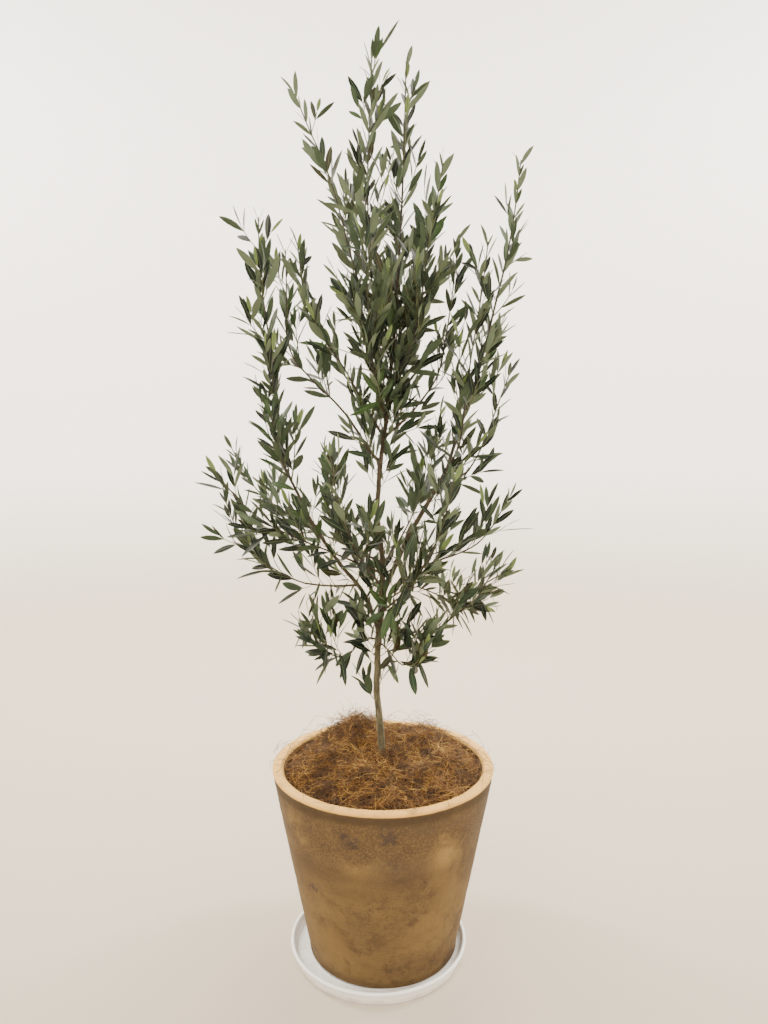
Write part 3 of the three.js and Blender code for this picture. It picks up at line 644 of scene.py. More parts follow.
def fibreNodes(name):  # wavy fibres strewn over a surface and lying along it
    tree = bpy.data.node_groups.new(name, "GeometryNodeTree")
    tree.interface.new_socket("Surface", in_out="INPUT", socket_type="NodeSocketGeometry")
    sizes = [(label, "Float") for label in ("Density", "Length", "Radius", "Rise", "Wave", "Loose", "Hold")]
    for label, kind in [*sizes, ("Seed", "Int"), ("Shade", "Material")]:
        tree.interface.new_socket(label, in_out="INPUT", socket_type="NodeSocket" + kind)
    tree.interface.new_socket("Fibres", in_out="OUTPUT", socket_type="NodeSocketGeometry")
    given = tree.nodes.new("NodeGroupInput").outputs

    def add(kind, settings=None, sockets=None, output=0):
        return addNode(tree, kind, settings, sockets).outputs[output]

    def maths(operation, *terms):
        return add("ShaderNodeMath", {"operation": operation}, dict(enumerate(terms)))

    def vectors(operation, *terms, output=0):
        return add("ShaderNodeVectorMath", {"operation": operation}, dict(enumerate(terms)), output)

    def vector(**axes):
        return add("ShaderNodeCombineXYZ", {}, axes)

    def anyNumber(low, high):  # one for each fibre
        sockets = {2: low, 3: high, "Seed": given["Seed"]}
        return add("FunctionNodeRandomValue", {"data_type": "FLOAT"}, sockets, output=1)

    # points on the surface, each with a straight strand that lies along it
    strewn = add("GeometryNodeDistributePointsOnFaces", {"distribute_method": "RANDOM"},
                 {"Mesh": given["Surface"], "Density": given["Density"], "Seed": given["Seed"]})
    lying = strewn.node.outputs["Rotation"]
    line = add("GeometryNodeCurvePrimitiveLine", {}, {"Start": (-0.5, 0, 0), "End": (0.5, 0, 0)})
    thread = add("GeometryNodeResampleCurve", {}, {"Curve": line, "Count": strand["points"]})
    tilt = add("FunctionNodeRandomValue", {"data_type": "FLOAT_VECTOR"},
               {0: [-t for t in strand["tilt"]], 1: strand["tilt"], "Seed": given["Seed"]})
    combed = add("ShaderNodeTexNoise", {"noise_dimensions": "3D"},
                 {"Vector": add("GeometryNodeInputPosition"), "Scale": strand["combing"], "Detail": 1.0})
    turn = vectors("ADD", tilt, vector(Z=maths("MULTIPLY", combed, strand["combedTurn"])))
    facing = add("FunctionNodeRotateRotation", {"rotation_space": "LOCAL"}, {0: lying, 1: turn})
    scale = vector(X=maths("MULTIPLY", anyNumber(*strand["sizes"]), given["Length"]), Y=1.0, Z=1.0)
    placed = add("GeometryNodeInstanceOnPoints", {},
                 {"Points": strewn, "Instance": thread, "Rotation": facing, "Scale": scale})
    marked = add("GeometryNodeStoreNamedAttribute", {"data_type": "FLOAT", "domain": "INSTANCE"},
                 {"Geometry": placed, "Name": "whim", "Value": anyNumber(0.0, strand["whims"])})
    real = add("GeometryNodeRealizeInstances", {}, {"Geometry": marked})

    # each strand sways by its own noise, and is then held inside the pot
    own = add("GeometryNodeInputNamedAttribute", {"data_type": "FLOAT"}, {"Name": "whim"})
    wind = {"Vector": add("GeometryNodeInputPosition"), "W": own, "Scale": strand["bends"], "Detail": 1.0}
    blown = add("ShaderNodeTexNoise", {"noise_dimensions": "4D"}, wind, output=1)
    sway = vector(X=given["Wave"], Y=given["Wave"], Z=given["Loose"])
    swing = add("ShaderNodeVectorMath", {"operation": "SCALE"}, {0: sway, "Scale": strand["swing"]})
    moved = vectors("MULTIPLY", vectors("SUBTRACT", blown, (0.5, 0.5, 0.5)), swing)
    offset = vectors("ADD", moved, vector(Z=given["Rise"]))
    swayed = add("GeometryNodeSetPosition", {}, {"Geometry": real, "Offset": offset})
    now = add("GeometryNodeInputPosition")
    span = vectors("LENGTH", vectors("MULTIPLY", now, (1, 1, 0)), output=1)
    share = maths("MINIMUM", maths("DIVIDE", given["Hold"], span), 1.0)
    held = vectors("MULTIPLY", now, vector(X=share, Y=share, Z=1.0))
    kept = add("GeometryNodeSetPosition", {}, {"Geometry": swayed, "Position": held})

    thickness = {"Resolution": strand["sides"], "Radius": given["Radius"]}
    ring = add("GeometryNodeCurvePrimitiveCircle", {}, thickness)
    solid = add("GeometryNodeCurveToMesh", {}, {"Curve": kept, "Profile Curve": ring, "Fill Caps": True})
    whole = add("GeometryNodeRealizeInstances", {}, {"Geometry": solid})
    dyed = add("GeometryNodeSetMaterial", {}, {"Geometry": whole, "Material": given["Shade"]})
    tree.links.new(dyed, tree.nodes.new("NodeGroupOutput").inputs[0])
    return tree


def strewFibres(tree, surface, row):  # one kind of fibre as a plain mesh
    name, count, *sizes, shade = row
    values = dict(zip(["Length", "Radius", "Rise", "Wave", "Loose", "Seed"], sizes))
    values["Density"] = count / sum(p.area for p in surface.data.polygons)
    values["Hold"] = innerRadius(rimHeight) - strand["insideRim"]
    values["Shade"] = fibreSkin("coir" + name.title(), shade)
    modifier = surface.modifiers.new("fibres", "NODES")
    modifier.node_group = tree
    for item in tree.interface.items_tree:
        if item.in_out == "INPUT" and item.name in values:
            modifier[item.identifier] = values[item.name]
    graph = bpy.context.evaluated_depsgraph_get()
    data = bpy.data.meshes.new_from_object(surface.evaluated_get(graph))
    surface.modifiers.remove(modifier)
    data.polygons.foreach_set("use_smooth", np.ones(len(data.polygons), dtype=bool))
    piece = bpy.data.objects.new("coir_" + name, data)
    scene.collection.objects.link(piece)
    return piece


def strayPile():  # loose fibres that arch up and out over the rim
    pile = Pile()
    rng = np.random.default_rng(strays["seed"])
    for _ in range(strays["count"]):
        heading = rng.uniform(0, 2 * math.pi)
        start = rng.uniform(*strays["foot"])
        reach, arch = rng.uniform(*strays["reach"]), rng.uniform(*strays["arch"])
        swing = rng.uniform(-strays["swing"], strays["swing"])
        share = np.linspace(0, 1, 7)
        away = np.minimum(start + reach * share, strays["farthest"] - 0.01 * rng.random())
        turn = heading + swing * share + 0.05 * rng.normal(size=7)
        rise = coirRise(start * math.cos(heading), start * math.sin(heading))
        foot = rimHeight - filling["edgeBelowRim"] + rise - 0.004  # rooted a little way down in the coir
        end = max(rimHeight + 0.004, foot) - foot
        height = foot + arch * np.sin(share * math.pi) + end * share + 0.002 * rng.normal(size=7)
        points = smoothLine(np.stack([away * np.cos(turn), away * np.sin(turn), height], -1), 0.005)[0]
        pile.put(*tube(points, np.full(len(points), strays["radius"]), 3)[:2])
    return pile


def buildCoir():
    top = buildCoirBed()
    tree = fibreNodes("strewnFibres")
    spots = np.array([v.co for v in top.data.vertices])
    heaped = coirHeaps(spots[:, 0], spots[:, 1]) > filling["heapedAbove"]
    onTufts = [tuple(p.vertices) for p in top.data.polygons if heaped[list(p.vertices)].all()]
    fluffy = meshOf("coirTufts", spots, onTufts, [])
    for row in fibres:
        piece = strewFibres(tree, fluffy if row[0] == "fluff" else top, row)
        piece.data.attributes.remove(piece.data.attributes["whim"])
        dress(piece, "coir", "coir")
        print("  " + piece.name, len(piece.data.polygons), "faces")
    dress(strayPile().mesh("coir_strays", [fibreSkin("coirStray", strays["shade"])]), "coir", "coir")
    for scaffold in (top, fluffy):
        bpy.data.objects.remove(scaffold)
    for slot in frame["nodes"]["soil"].material_slots:
        slot.material = darkSoil()


buildCoir()
print("soil and coir")


trunk = {  # its line, from the soil up: how far it leans to the right and to the back at even heights
    "topHeight": 1.300, "footRadius": 0.0072, "topRadius": 0.0026, "runs": 22,
    "flare": 0.005, "flareHeight": 0.034,
    "lean": [-0.002, -0.004, -0.012, -0.010, -0.002, -0.001, -0.011, -0.006, 0.006, 0.014, 0.022, 0.027],
    "leanBack": [0, 0.001, 0.003, 0.004, 0.002, 0, -0.002, -0.003, -0.001, 0.002, 0.003, 0.002],
}
growth = {
    "seed": 313, "nodeGap": 0.080, "firstNode": 0.4, "bare": 0.016,
    "taper": 0.28, "limbStep": 0.036, "twigFoot": 0.6,
    "seeds": {"spurs": 3000, "core": 4000, "skirt": 4001, "between": 5000, "ends": 7000, "endsPerMass": 61},
}
twig = {
    "chance": 0.72, "spread": 38, "spreadVaries": 0.25, "rollVaries": 25, "size": [0.8, 1.4],
    "sizeAlong": [1.25, 0.35], "last": 0.88, "lift": 0.34, "step": 0.026, "reach": 0.62,
}
finer = {  # what grows on beyond the solids' own twigs
    "stemOn": 0.030, "onwards": 1.45, "reach": 0.84, "bends": 2, "lift": 0.52, "last": 0.94,
    "stemTip": 0.0011, "twigTip": 0.0008, "spurRadius": 0.0016, "spursAbove": 0.47,
    "between": {"chance": [0.62, 0.42, 0.14], "gap": 0.046, "first": 0.9, "length": [0.050, 0.095],
                "along": [1.2, 0.4], "spread": 32},
    "ends": {"chance": [0.40, 0.24], "gap": 0.040, "first": 0.8, "length": [0.028, 0.055],
             "along": [1.2, 0.4], "spread": 32},
    "spurs": {"chance": [0.60], "gap": 0.022, "first": 0.9, "length": [0.022, 0.080],
              "along": [0.8, 1.1], "spread": 54},
    "core": {"chance": [1.0], "gap": 0.010, "first": 0.5, "length": [0.050, 0.110],
             "along": [1.0, 1.0], "spread": 46, "from": 0.99, "to": 1.27},
    "skirt": {"chance": [0.9], "gap": 0.015, "first": 0.5, "length": [0.050, 0.105],
              "along": [1.0, 1.0], "spread": 66, "from": 0.53, "to": 0.69},
    "fullness": {  # more or fewer of a mass's finer twigs
        "left_tall": 0.7, "right_tall": 0.45, "right_upper": 0.5, "right_outer": 0.6, "right_mid": 0.7,
        "left_low": 0.8, "right_low": 1.5, "right_droop": 1.8, "low_left": 2.0, "low_right": 2.6,
        "crown_front": 1.5, "crown_front_right": 1.4, "crown_back": 1.5, "crown_back_left": 1.5,
        "front_right": 1.3,
    },
}
leaf = {
    "length": 0.057, "width": 0.0124, "thickness": 0.0007, "size": [0.74, 1.22],
    "slimmest": 0.78, "broader": 0.40,  # a leaf's own width, as a share of the usual one and what chance adds
    "angle": 32, "angleVaries": 0.42, "angleAlong": [1.35, 0.6], "roll": 45, "rollVaries": 22,
    "gap": 0.0245, "apart": 0.0095, "onStem": 0.9, "onTwig": 0.94, "tip": {"at": 0.985, "angle": 9},
    "twist": 38, "bow": [-0.05, 0.17], "fold": [-0.08, 0.34], "sweep": 0.05, "rib": 0.075,
    "young": {"size": 0.62, "from": 0.55, "over": 0.45},  # leaves are smaller towards a twig's tip
    "pale": {"from": 0.86, "chance": 0.55},  # the last of them are often paler
    "hanging": {"below": 0.76, "chance": 0.20, "weight": 1.7},  # below this height some leaves hang
    "lowBelow": 1.0,  # the masses of foliage that start below this height are one piece, the others another
    "stations": [0.06, 0.19, 0.38, 0.60, 0.79, 0.92], "halfWidths": [0.10, 0.56, 0.93, 1.0, 0.76, 0.38],
}
room = {"masses": 0.0022, "limbs": 0.0024, "box": 0.006}
# Each limb's name, what it leaves and where (a height on the trunk, or a distance along a bough), its radius,
# and its length, headings and rises; then those of the mass of foliage at its tip, with the mass's reach.
limbRows = [
    ("left_tall", "trunk", 0.634, 0.0042, (0.3, [192], [74, 69, 48, 56, 58, 70]),
     (0.48, [202], [62, 66, 92, 84, 83, 82, 85, 92], 0.096)),
    ("left_low", "left_tall", 0.106, 0.0023, (0.1, [182], [-5, 2, 10]),
     (0.2, [180], [16, 28, 38, 46, 62, 76], 0.088)),
    ("left_front", "trunk", 0.752, 0.0026, (0.096, [208], [25]),
     (0.262, [208, 212], [25, 24, 28, 42, 52], 0.096)),
    ("left_back", "trunk", 0.773, 0.0025, (0.104, [152], [18, 20]),
     (0.294, [152, 156], [16, 20, 24, 36, 48, 64], 0.108)),
    ("low_left", "trunk", 0.622, 0.002, (0.038, [190], [26, -30]),
     (0.158, [210, 178], [-64, -24, 66, 78, 80], 0.096)),
    ("low_right", "trunk", 0.618, 0.002, (0.046, [308], [-10, -30]),
     (0.11, [296, 340], [-34, 0, 66, 80], 0.096)),
    ("right_low", "trunk", 0.654, 0.0023, (0.092, [346], [-14, -6]),
     (0.158, [346, 352], [18, 42, 42, 38, 52, 74], 0.088)),
    ("right_droop", "trunk", 0.69, 0.0021, (0.084, [28], [38, 2]),
     (0.132, [24, 14], [-22, -26, -24, 0], 0.098)),
    ("right_tall", "trunk", 0.708, 0.0052, (0.274, [2], [67, 67, 65, 59, 60, 64]),
     (0.546, [8, 4], [74, 72, 70, 76, 77, 76, 79, 82, 85], 0.084)),
    ("right_upper", "right_tall", 0.25, 0.0026, (0.084, [306], [44, 62]),
     (0.326, [316, 350], [78, 84, 82, 80, 82, 84], 0.09)),
    ("right_outer", "right_tall", 0.222, 0.0026, (0.084, [24], [20, 36]),
     (0.176, [20, 12], [52, 64, 68, 70, 68], 0.08)),
    ("right_mid", "trunk", 0.69, 0.0026, (0.12, [334], [52, 44, 36]),
     (0.186, [336, 344], [24, 20, 30, 54, 64], 0.084)),
    ("front_right", "trunk", 0.674, 0.0025, (0.074, [298], [34, 30]),
     (0.262, [300, 310], [32, 46, 60, 76], 0.104)),
    ("front_left", "trunk", 0.726, 0.0026, (0.074, [250], [32, 30]),
     (0.245, [248, 238], [34, 48, 62, 78], 0.104)),
    ("back_right", "trunk", 0.764, 0.0026, (0.076, [60], [34, 32]),
     (0.272, [58, 50], [36, 50, 64, 78], 0.104)),
    ("back_left", "trunk", 0.684, 0.0026, (0.078, [118], [34, 30]),
     (0.28, [120, 128], [34, 48, 62, 78], 0.104)),
    ("upper_left", "trunk", 0.962, 0.0032, (0.112, [160], [42, 57, 52]),
     (0.332, [160, 156], [50, 40, 44, 48, 80, 93, 90, 88], 0.09)),
    ("upper_left_inner", "trunk", 1.01, 0.003, (0.068, [182], [58, 60]),
     (0.284, [184, 188], [62, 60, 54, 60, 78, 86], 0.09)),
    ("upper_right", "trunk", 1.01, 0.003, (0.076, [12], [36, 47]),
     (0.276, [14, 20], [48, 56, 80, 80, 82, 84], 0.094)),
    ("crown_front", "trunk", 1.046, 0.0026, (0.056, [250], [38, 46]),
     (0.31, [252, 260], [54, 68, 78, 84, 86], 0.1)),
    ("crown_back", "trunk", 1.064, 0.0026, (0.058, [78], [40, 48]),
     (0.342, [78, 86], [54, 66, 78, 84, 86], 0.1)),
    ("crown_front_right", "trunk", 1.096, 0.0024, (0.052, [308], [40, 48]),
     (0.24, [308, 314], [54, 70, 80, 84], 0.096)),
    ("crown_back_left", "trunk", 1.112, 0.0024, (0.054, [132], [48, 56]),
     (0.312, [134, 142], [62, 70, 78, 84], 0.094)),
    ("top_left", "trunk", 1.15, 0.0026, (0.128, [188], [60, 66, 70]),
     (0.336, [188, 184], [72, 74, 76, 72, 64, 68], 0.086)),
    ("second_leader", "trunk", 1.182, 0.0024, (0.08, [226], [48, 62]),
     (0.39, [206, 184], [76, 86, 90, 90, 96, 88], 0.088)),
    ("top_right", "trunk", 1.24, 0.002, (0.048, [34], [48, 54]), (0.212, [20, 0], [62, 74, 76, 82], 0.09)),
    ("leader", None, None, None, (), (0.344, [0], [86, 88, 89], 0.084)),
]
limbs = [
    {"name": name, "on": on, "at": at, "radius": radius,
     "bough": dict(zip(["length", "heading", "rise"], bough)),
     "foliage": dict(zip(["length", "heading", "rise", "reach"], foliage))}
    for name, on, at, radius, bough, foliage in limbRows
]


def seeded(seed):  # a run of numbers from 0 to 1 that is the same for the same seed
    state = seed * 2654435761 % 2 ** 32

    def draw():
        nonlocal state
        state = (state * 1664525 + 1013904223) % 2 ** 32
        return state / 2 ** 32
    return draw


def along(values, t):  # the value at that share of the way through the list
    if len(values) == 1:
        return values[0]
    return float(np.interp(t, np.linspace(0, 1, len(values)), values))


def varied(amount, share):
    return amount * (2 * share - 1)


def direction(heading, rise):
    heading, rise = math.radians(heading), math.radians(rise)
    return np.array([math.cos(rise) * math.cos(heading), math.cos(rise) * math.sin(heading), math.sin(rise)])


def lineLength(line):
    return float(np.linalg.norm(np.diff(line, axis=0), axis=1).sum())


def limbLine(start, limb):
    steps = max(2, math.floor(limb["length"] / growth["limbStep"] + 0.5))
    points = [np.array(start, dtype=float)]
    for i in range(steps):
        t = (i + 0.5) / steps
        forward = direction(along(limb["heading"], t), along(limb["rise"], t))
        points.append(points[-1] + forward * limb["length"] / steps)
    return np.array(points)


def pointAt(line, t):
    place = min(max(t, 0), 1) * (len(line) - 1)
    before = min(int(place), len(line) - 2)
    return line[before] + (line[before + 1] - line[before]) * (place - before)


def directionAt(line, t):
    before = min(int(t * (len(line) - 1)), len(line) - 2)
    return unit(line[before + 1] - line[before])


def trunkLine():
    foot = rimHeight - filling["soilBelowRim"] + clearance
    height = trunk["topHeight"] - foot
    return np.array([[along(trunk["lean"], t), along(trunk["leanBack"], t), foot + height * t]
                     for t in np.linspace(0, 1, trunk["runs"] + 1)])


def trunkRadius(t):
    above = t * (trunk["topHeight"] - rimHeight + filling["soilBelowRim"])
    flare = trunk["flare"] * math.exp(-3 * above / trunk["flareHeight"])
    return trunk["footRadius"] + (trunk["topRadius"] - trunk["footRadius"]) * t + flare


def layOutLimbs():
    made = {"trunk": {"line": trunkLine(), "radiusAt": trunkRadius}}
    for limb in limbs:
        if not limb["bough"]:
            continue
        line = made[limb["on"]]["line"]
        foot = line[0][2]
        onTrunk = limb["on"] == "trunk"
        t = (limb["at"] - foot) / (trunk["topHeight"] - foot) if onTrunk else limb["at"] / lineLength(line)
        radius = limb["radius"]
        made[limb["name"]] = {"line": limbLine(pointAt(line, t), limb["bough"]), "on": limb["on"], "t": t,
                              "radiusAt": lambda s, radius=radius: radius * (1 - growth["taper"] * s)}
    return made


def layOutStems(boughs):
    made = []
    for limb in limbs:
        bough = boughs.get(limb["name"], boughs["trunk"])
        line = limbLine(bough["line"][-1] + directionAt(bough["line"], 1) * clearance, limb["foliage"])
        line = np.vstack([line, line[-1] + directionAt(line, 1) * finer["stemOn"]])
        made.append({"name": limb["name"], "line": line, "reach": limb["foliage"]["reach"],
                     "radius": bough["radiusAt"](1)})
    return made


class Runs:  # the straight runs of several lines, for distances to all of them at once
    def __init__(self, lines, radii=None):
        self.starts = np.vstack([line[:-1] for line in lines])
        self.spans = np.vstack([np.diff(line, axis=0) for line in lines])
        self.firsts = np.cumsum([0] + [len(line) - 1 for line in lines[:-1]])
        self.radii = radii

    def distances(self, points):  # from each point to each line, less the line's own radius there
        away = points[:, None] - self.starts
        share = np.clip((away * self.spans).sum(-1) / (self.spans ** 2).sum(-1), 0, 1)
        gap = np.linalg.norm(away - self.spans * share[..., None], axis=-1)
        if self.radii is not None:
            gap -= self.radii[0] + (self.radii[1] - self.radii[0]) * share
        return np.minimum.reduceat(gap, self.firsts, axis=1)


def limbSpace(boughs):  # the runs of all the limbs, with each run's radius at its start and at its end
    lines = [limb["line"] for limb in boughs.values()]
    radii = [[limb["radiusAt"](i / (count - 1)) for i in range(count)]
             for limb, count in zip(boughs.values(), map(len, lines))]
    return Runs(lines, (np.concatenate([r[:-1] for r in radii]), np.concatenate([r[1:] for r in radii])))


boughs = layOutLimbs()
stems = layOutStems(boughs)
stemRuns = Runs([stem["line"] for stem in stems])
limbRuns = limbSpace(boughs)


def inTheOpen(points):  # off the limbs and inside the model's box
    low, high = np.array(cadBox[0]) - room["box"], np.array(cadBox[1]) + room["box"]
    return (limbRuns.distances(points).min(1) >= room["limbs"]) & ((points > low) & (points < high)).all(1)


def inOwnSpace(points, share, index):  # nearer to its own stem than to any other, and within its reach
    gaps = stemRuns.distances(points)
    own = gaps[:, index]
    others = np.delete(gaps, index, axis=1).min(1)
    return (own <= stems[index]["reach"] * share) & (others >= own + 2 * room["masses"])


def twigStart(parent, t, turn, roll, spread, tilt):  # where a side twig leaves its parent, and its direction
    forward = directionAt(parent["line"], t)
    side = sideways(forward, turn + varied(twig["rollVaries"], roll))
    spread = math.radians(spread * (1 + varied(twig["spreadVaries"], tilt)))
    return pointAt(parent["line"], t), forward * math.cos(spread) + side * math.sin(spread)


def twigRadius(parent, t, tip):
    return growth["twigFoot"] * (parent["radius"] + (tip - parent["radius"]) * t)


def twigLine(start, heading, length, lift):  # a side twig bends up towards the light
    steps = max(2, math.floor(length / twig["step"] + 0.5)) * finer["bends"]
    points = [start]
    for i in range(steps):
        points.append(points[-1] + heading * length / steps)
        heading = unit(heading + up * lift / finer["bends"])
    return np.array(points)


def keptTwig(line, radius, index, share, t):  # cut short where it would leave its space
    inside = inTheOpen(line[1:])
    if share:
        inside &= inOwnSpace(line[1:], share, index)
    count = len(line) if inside.all() else int(np.argmin(inside)) + 1
    return {"line": line[:count], "radius": radius, "parent": None, "t": t} if count > 2 else None


def stemTwigs(stem, index):  # the solids' own twigs, drawn with the same seeds and carried further out
    draw = seeded(2 * index + 1 + growth["seed"])
    length = lineLength(stem["line"])
    made = []
    for node in range(int((length - growth["bare"]) // growth["nodeGap"])):
        for turn in (0, 180):
            bud, size, tilt, roll = draw(), draw(), draw(), draw()
            t = (growth["bare"] + (node + growth["firstNode"]) * growth["nodeGap"]) / length
            if bud > twig["chance"] or t > twig["last"]:
                continue
            wanted = stem["reach"] * twig["reach"] * along(twig["size"], size) * along(twig["sizeAlong"], t)
            start, outward = twigStart(stem, t, 90 * node + turn, roll, twig["spread"], tilt)
            line = twigLine(start, outward, wanted * finer["onwards"], twig["lift"])
            made.append(keptTwig(line, twigRadius(stem, t, finer["stemTip"]), index, finer["reach"], t))
    return [t for t in made if t]


def finerTwigs(parent, index, seed, rule, share=finer["reach"]):  # more by the same rule, at a closer spacing
    draw = seeded(seed)
    length = lineLength(parent["line"])
    made = []
    for node in range(int(length / rule["gap"])):
        for turn in (0, 180):
            bud, size, tilt, roll = draw(), draw(), draw(), draw()
            t = (node + rule["first"]) * rule["gap"] / length
            if t > finer["last"] or bud > along(rule["chance"], t):
                continue
            wanted = along(rule["length"], size) * along(rule["along"], t)
            start, outward = twigStart(parent, t, 90 * node + turn + 45, roll, rule["spread"], tilt)
            line = twigLine(start, outward, wanted, finer["lift"])
            made.append(keptTwig(line, twigRadius(parent, t, finer["twigTip"]), index, share, t))
    return [t for t in made if t]


def leafPlaces(line, draw, chance):  # opposite pairs, each a quarter turn from the last, and one at the tip
    length = lineLength(line)
    foot = growth["bare"] / 2
    pairs = max(1, round((length - foot) / leaf["gap"]))
    spots = [((foot + (pair + 0.5) * (length - foot) / pairs) / length, pair, turn)
             for pair in range(pairs) for turn in (0, 180)]
    places = []
    for t, pair, turn in [*spots, (leaf["tip"]["at"], 0, 0)]:
        atTip = t == leaf["tip"]["at"]
        wanted = draw() < chance or atTip
        if atTip:
            roll, angle = 360 * draw(), leaf["tip"]["angle"]
        else:
            roll = 90 * pair + leaf["roll"] + turn + varied(leaf["rollVaries"], draw())
            angle = leaf["angle"] * (1 + varied(leaf["angleVaries"], draw())) * along(leaf["angleAlong"], t)
        towardsTip = max(t - leaf["young"]["from"], 0) / leaf["young"]["over"]
        size = along(leaf["size"], draw()) * (1 - (1 - leaf["young"]["size"]) * towardsTip)
        if not wanted:
            continue
        stemwards = directionAt(line, t)
        lean = math.radians(angle)
        forward = stemwards * math.cos(lean) + sideways(stemwards, roll) * math.sin(lean)
        root = pointAt(line, t)
        if draw() < leaf["hanging"]["chance"] and root[2] < leaf["hanging"]["below"] and not atTip:
            forward = unit(forward - up * leaf["hanging"]["weight"])  # an old leaf hangs
        upright = unit(stemwards - forward * (stemwards @ forward))
        face = turnedRound(upright, forward, varied(leaf["twist"], draw()))
        places.append({"root": root, "forward": forward, "face": face, "size": size, "t": t,
                       "chance": draw()})
    return places


def spurTwigs(stem, index):  # short shoots from the mass's own bough, or from the trunk for the leader
    seeds = growth["seeds"]

    def shootsOn(line, rule, seed):
        return finerTwigs({"line": line, "radius": finer["spurRadius"]}, index, seed, rule, None)

    if stem["name"] in boughs:
        return shootsOn(boughs[stem["name"]]["line"], finer["spurs"], seeds["spurs"] + index)
    line = boughs["trunk"]["line"]
    twigs = shootsOn(line[line[:, 2] > finer["spursAbove"]], finer["spurs"], seeds["spurs"] + index)
    for key in ("core", "skirt"):
        rule = finer[key]
        twigs += shootsOn(line[(line[:, 2] > rule["from"]) & (line[:, 2] < rule["to"])], rule, seeds[key])
    return twigs


# A leaf keeps off the limbs, and in its own mass's space unless its shoot grows straight from a bough.
def leafFits(place, onMass, index):
    across = np.cross(place["face"], place["forward"]) * leaf["width"] * place["size"] / 2
    reach = place["forward"] * leaf["length"] * place["size"]
    middle = place["root"] + 0.48 * reach
    ends = np.array([middle, middle + across, middle - across, place["root"] + reach])
    return middle, inTheOpen(ends).all() and (not onMass or inOwnSpace(ends, 1.0, index).all())


def trimmed(twigs, leaves):  # each twig ends at its last leaf or twig, and one that bears neither goes
    lasts = [-1.0] * len(twigs)
    for spray, place in leaves:
        if spray:
            lasts[spray - 1] = max(lasts[spray - 1], place["t"])
    for number in reversed(range(len(twigs))):
        if lasts[number] > 0 and twigs[number]["parent"] is not None:
            parent = twigs[number]["parent"]
            lasts[parent] = max(lasts[parent], twigs[number]["t"])
    kept = []
    for shoot, last in zip(twigs, lasts):
        if last > 0:
            line = shoot["line"]
            count = max(1, math.ceil(last * (len(line) - 1)))
            kept.append({"line": np.vstack([line[:count], pointAt(line, last)]), "radius": shoot["radius"]})
    return kept


def growMass(stem, index):  # the twigs and leaves of one mass
    full = finer["fullness"].get(stem["name"], 1)
    seeds = growth["seeds"]
    between, ends = ({**rule, "chance": [full * chance for chance in rule["chance"]]}
                     for rule in (finer["between"], finer["ends"]))
    twigs = stemTwigs(stem, index) + finerTwigs(stem, index, seeds["between"] + index, between)
    for number, parent in enumerate(list(twigs)):
        grown = finerTwigs(parent, index, seeds["ends"] + seeds["endsPerMass"] * index + number, ends)
        twigs += [{**shoot, "parent": number} for shoot in grown]
    onMass = len(twigs)
    twigs += spurTwigs(stem, index)
    draw = seeded(2 * index + growth["seed"])
    places = [(0, place) for place in leafPlaces(stem["line"], draw, leaf["onStem"])]
    for number, shoot in enumerate(twigs):
        places += [(number + 1, place) for place in leafPlaces(shoot["line"], draw, leaf["onTwig"])]
    leaves, middles = [], np.full((1, 3), 99.0)
    for spray, place in places:
        middle, fits = leafFits(place, spray <= onMass, index)
        if fits and np.linalg.norm(middles - middle, axis=1).min() > leaf["apart"]:
            middles = np.vstack([middles, middle])
            leaves.append((spray, place))
    return trimmed(twigs, leaves), leaves


masses = [growMass(stem, index) for index, stem in enumerate(stems)]
print("grown:", sum(len(t) for t, _ in masses), "twigs,", sum(len(p) for _, p in masses), "leaves")


bark = {
    "step": 0.0035, "trunkSides": 22, "boughSides": 12,
    "relief": 0.00042, "reliefSize": 0.011, "fineSize": 0.004,
    "collar": 0.45, "collarLength": 0.007,  # a bough swells where it leaves its limb
    "forkSwell": 0.0011, "forkLength": 0.008,  # and the trunk a little at each fork
    "budGap": 0.031, "budLength": 0.004, "budSwell": 0.12, "trunkBudSwell": 0.03,
    "stubs": [0.458, 0.547, 0.588, 0.842, 0.906], "stubRadius": 0.0022, "stubLength": 0.0045, "stubSides": 9,
    "grey": "#413d2b", "pale": "#6f674e", "brown": "#3a2e1f", "olive": "#343120", "dark": "#1a150f",
}
sprays = {
    "stemSides": 7, "stemStep": 0.009, "twigSides": 5, "twigStep": 0.011, "nodeSwell": 0.10,
    "stout": 0.0011, "woody": 0.8,  # the share of the twigs stouter than this that is brown and not green
    "old": "#352f22", "mid": "#403e2a", "young": "#555a38",
}


def barkSkin():
    shader = Shader("oliveBark")
    z = shader.axes()[2]
    blotch = shader.noise(95, 5, 0.6, 0.8, shader.place((1, 1, 0.22)))
    streak = shader.noise(420, 5, 0.65, 0.4, shader.place((1, 1, 0.10)))
    shade = shader.mix(blotch.rise(0.38, 0.64), colour(bark["grey"]), colour(bark["pale"]))
    shade = shader.coat(shade, z.rise(0.52, 0.86) * 0.8, bark["brown"])
    shade = shader.coat(shade, 0.6 * shader.noise(60, 4, 0.6).rise(0.50, 0.72), bark["olive"])
    shade = shader.coat(shade, 0.55 * streak.rise(0.52, 0.72), bark["dark"])
    pores = 1 - shader.cells(330, shader.place((1, 1, 0.5))).rise(0.10, 0.22)
    shade = shader.coat(shade, 0.6 * pores, bark["pale"])
    return shader.finish({
        "Base Color": shade, "Roughness": 0.78 + 0.14 * blotch,
        "Normal": shader.bump(streak + 0.6 * blotch + 0.5 * pores, 0.0008, 0.7),
    })


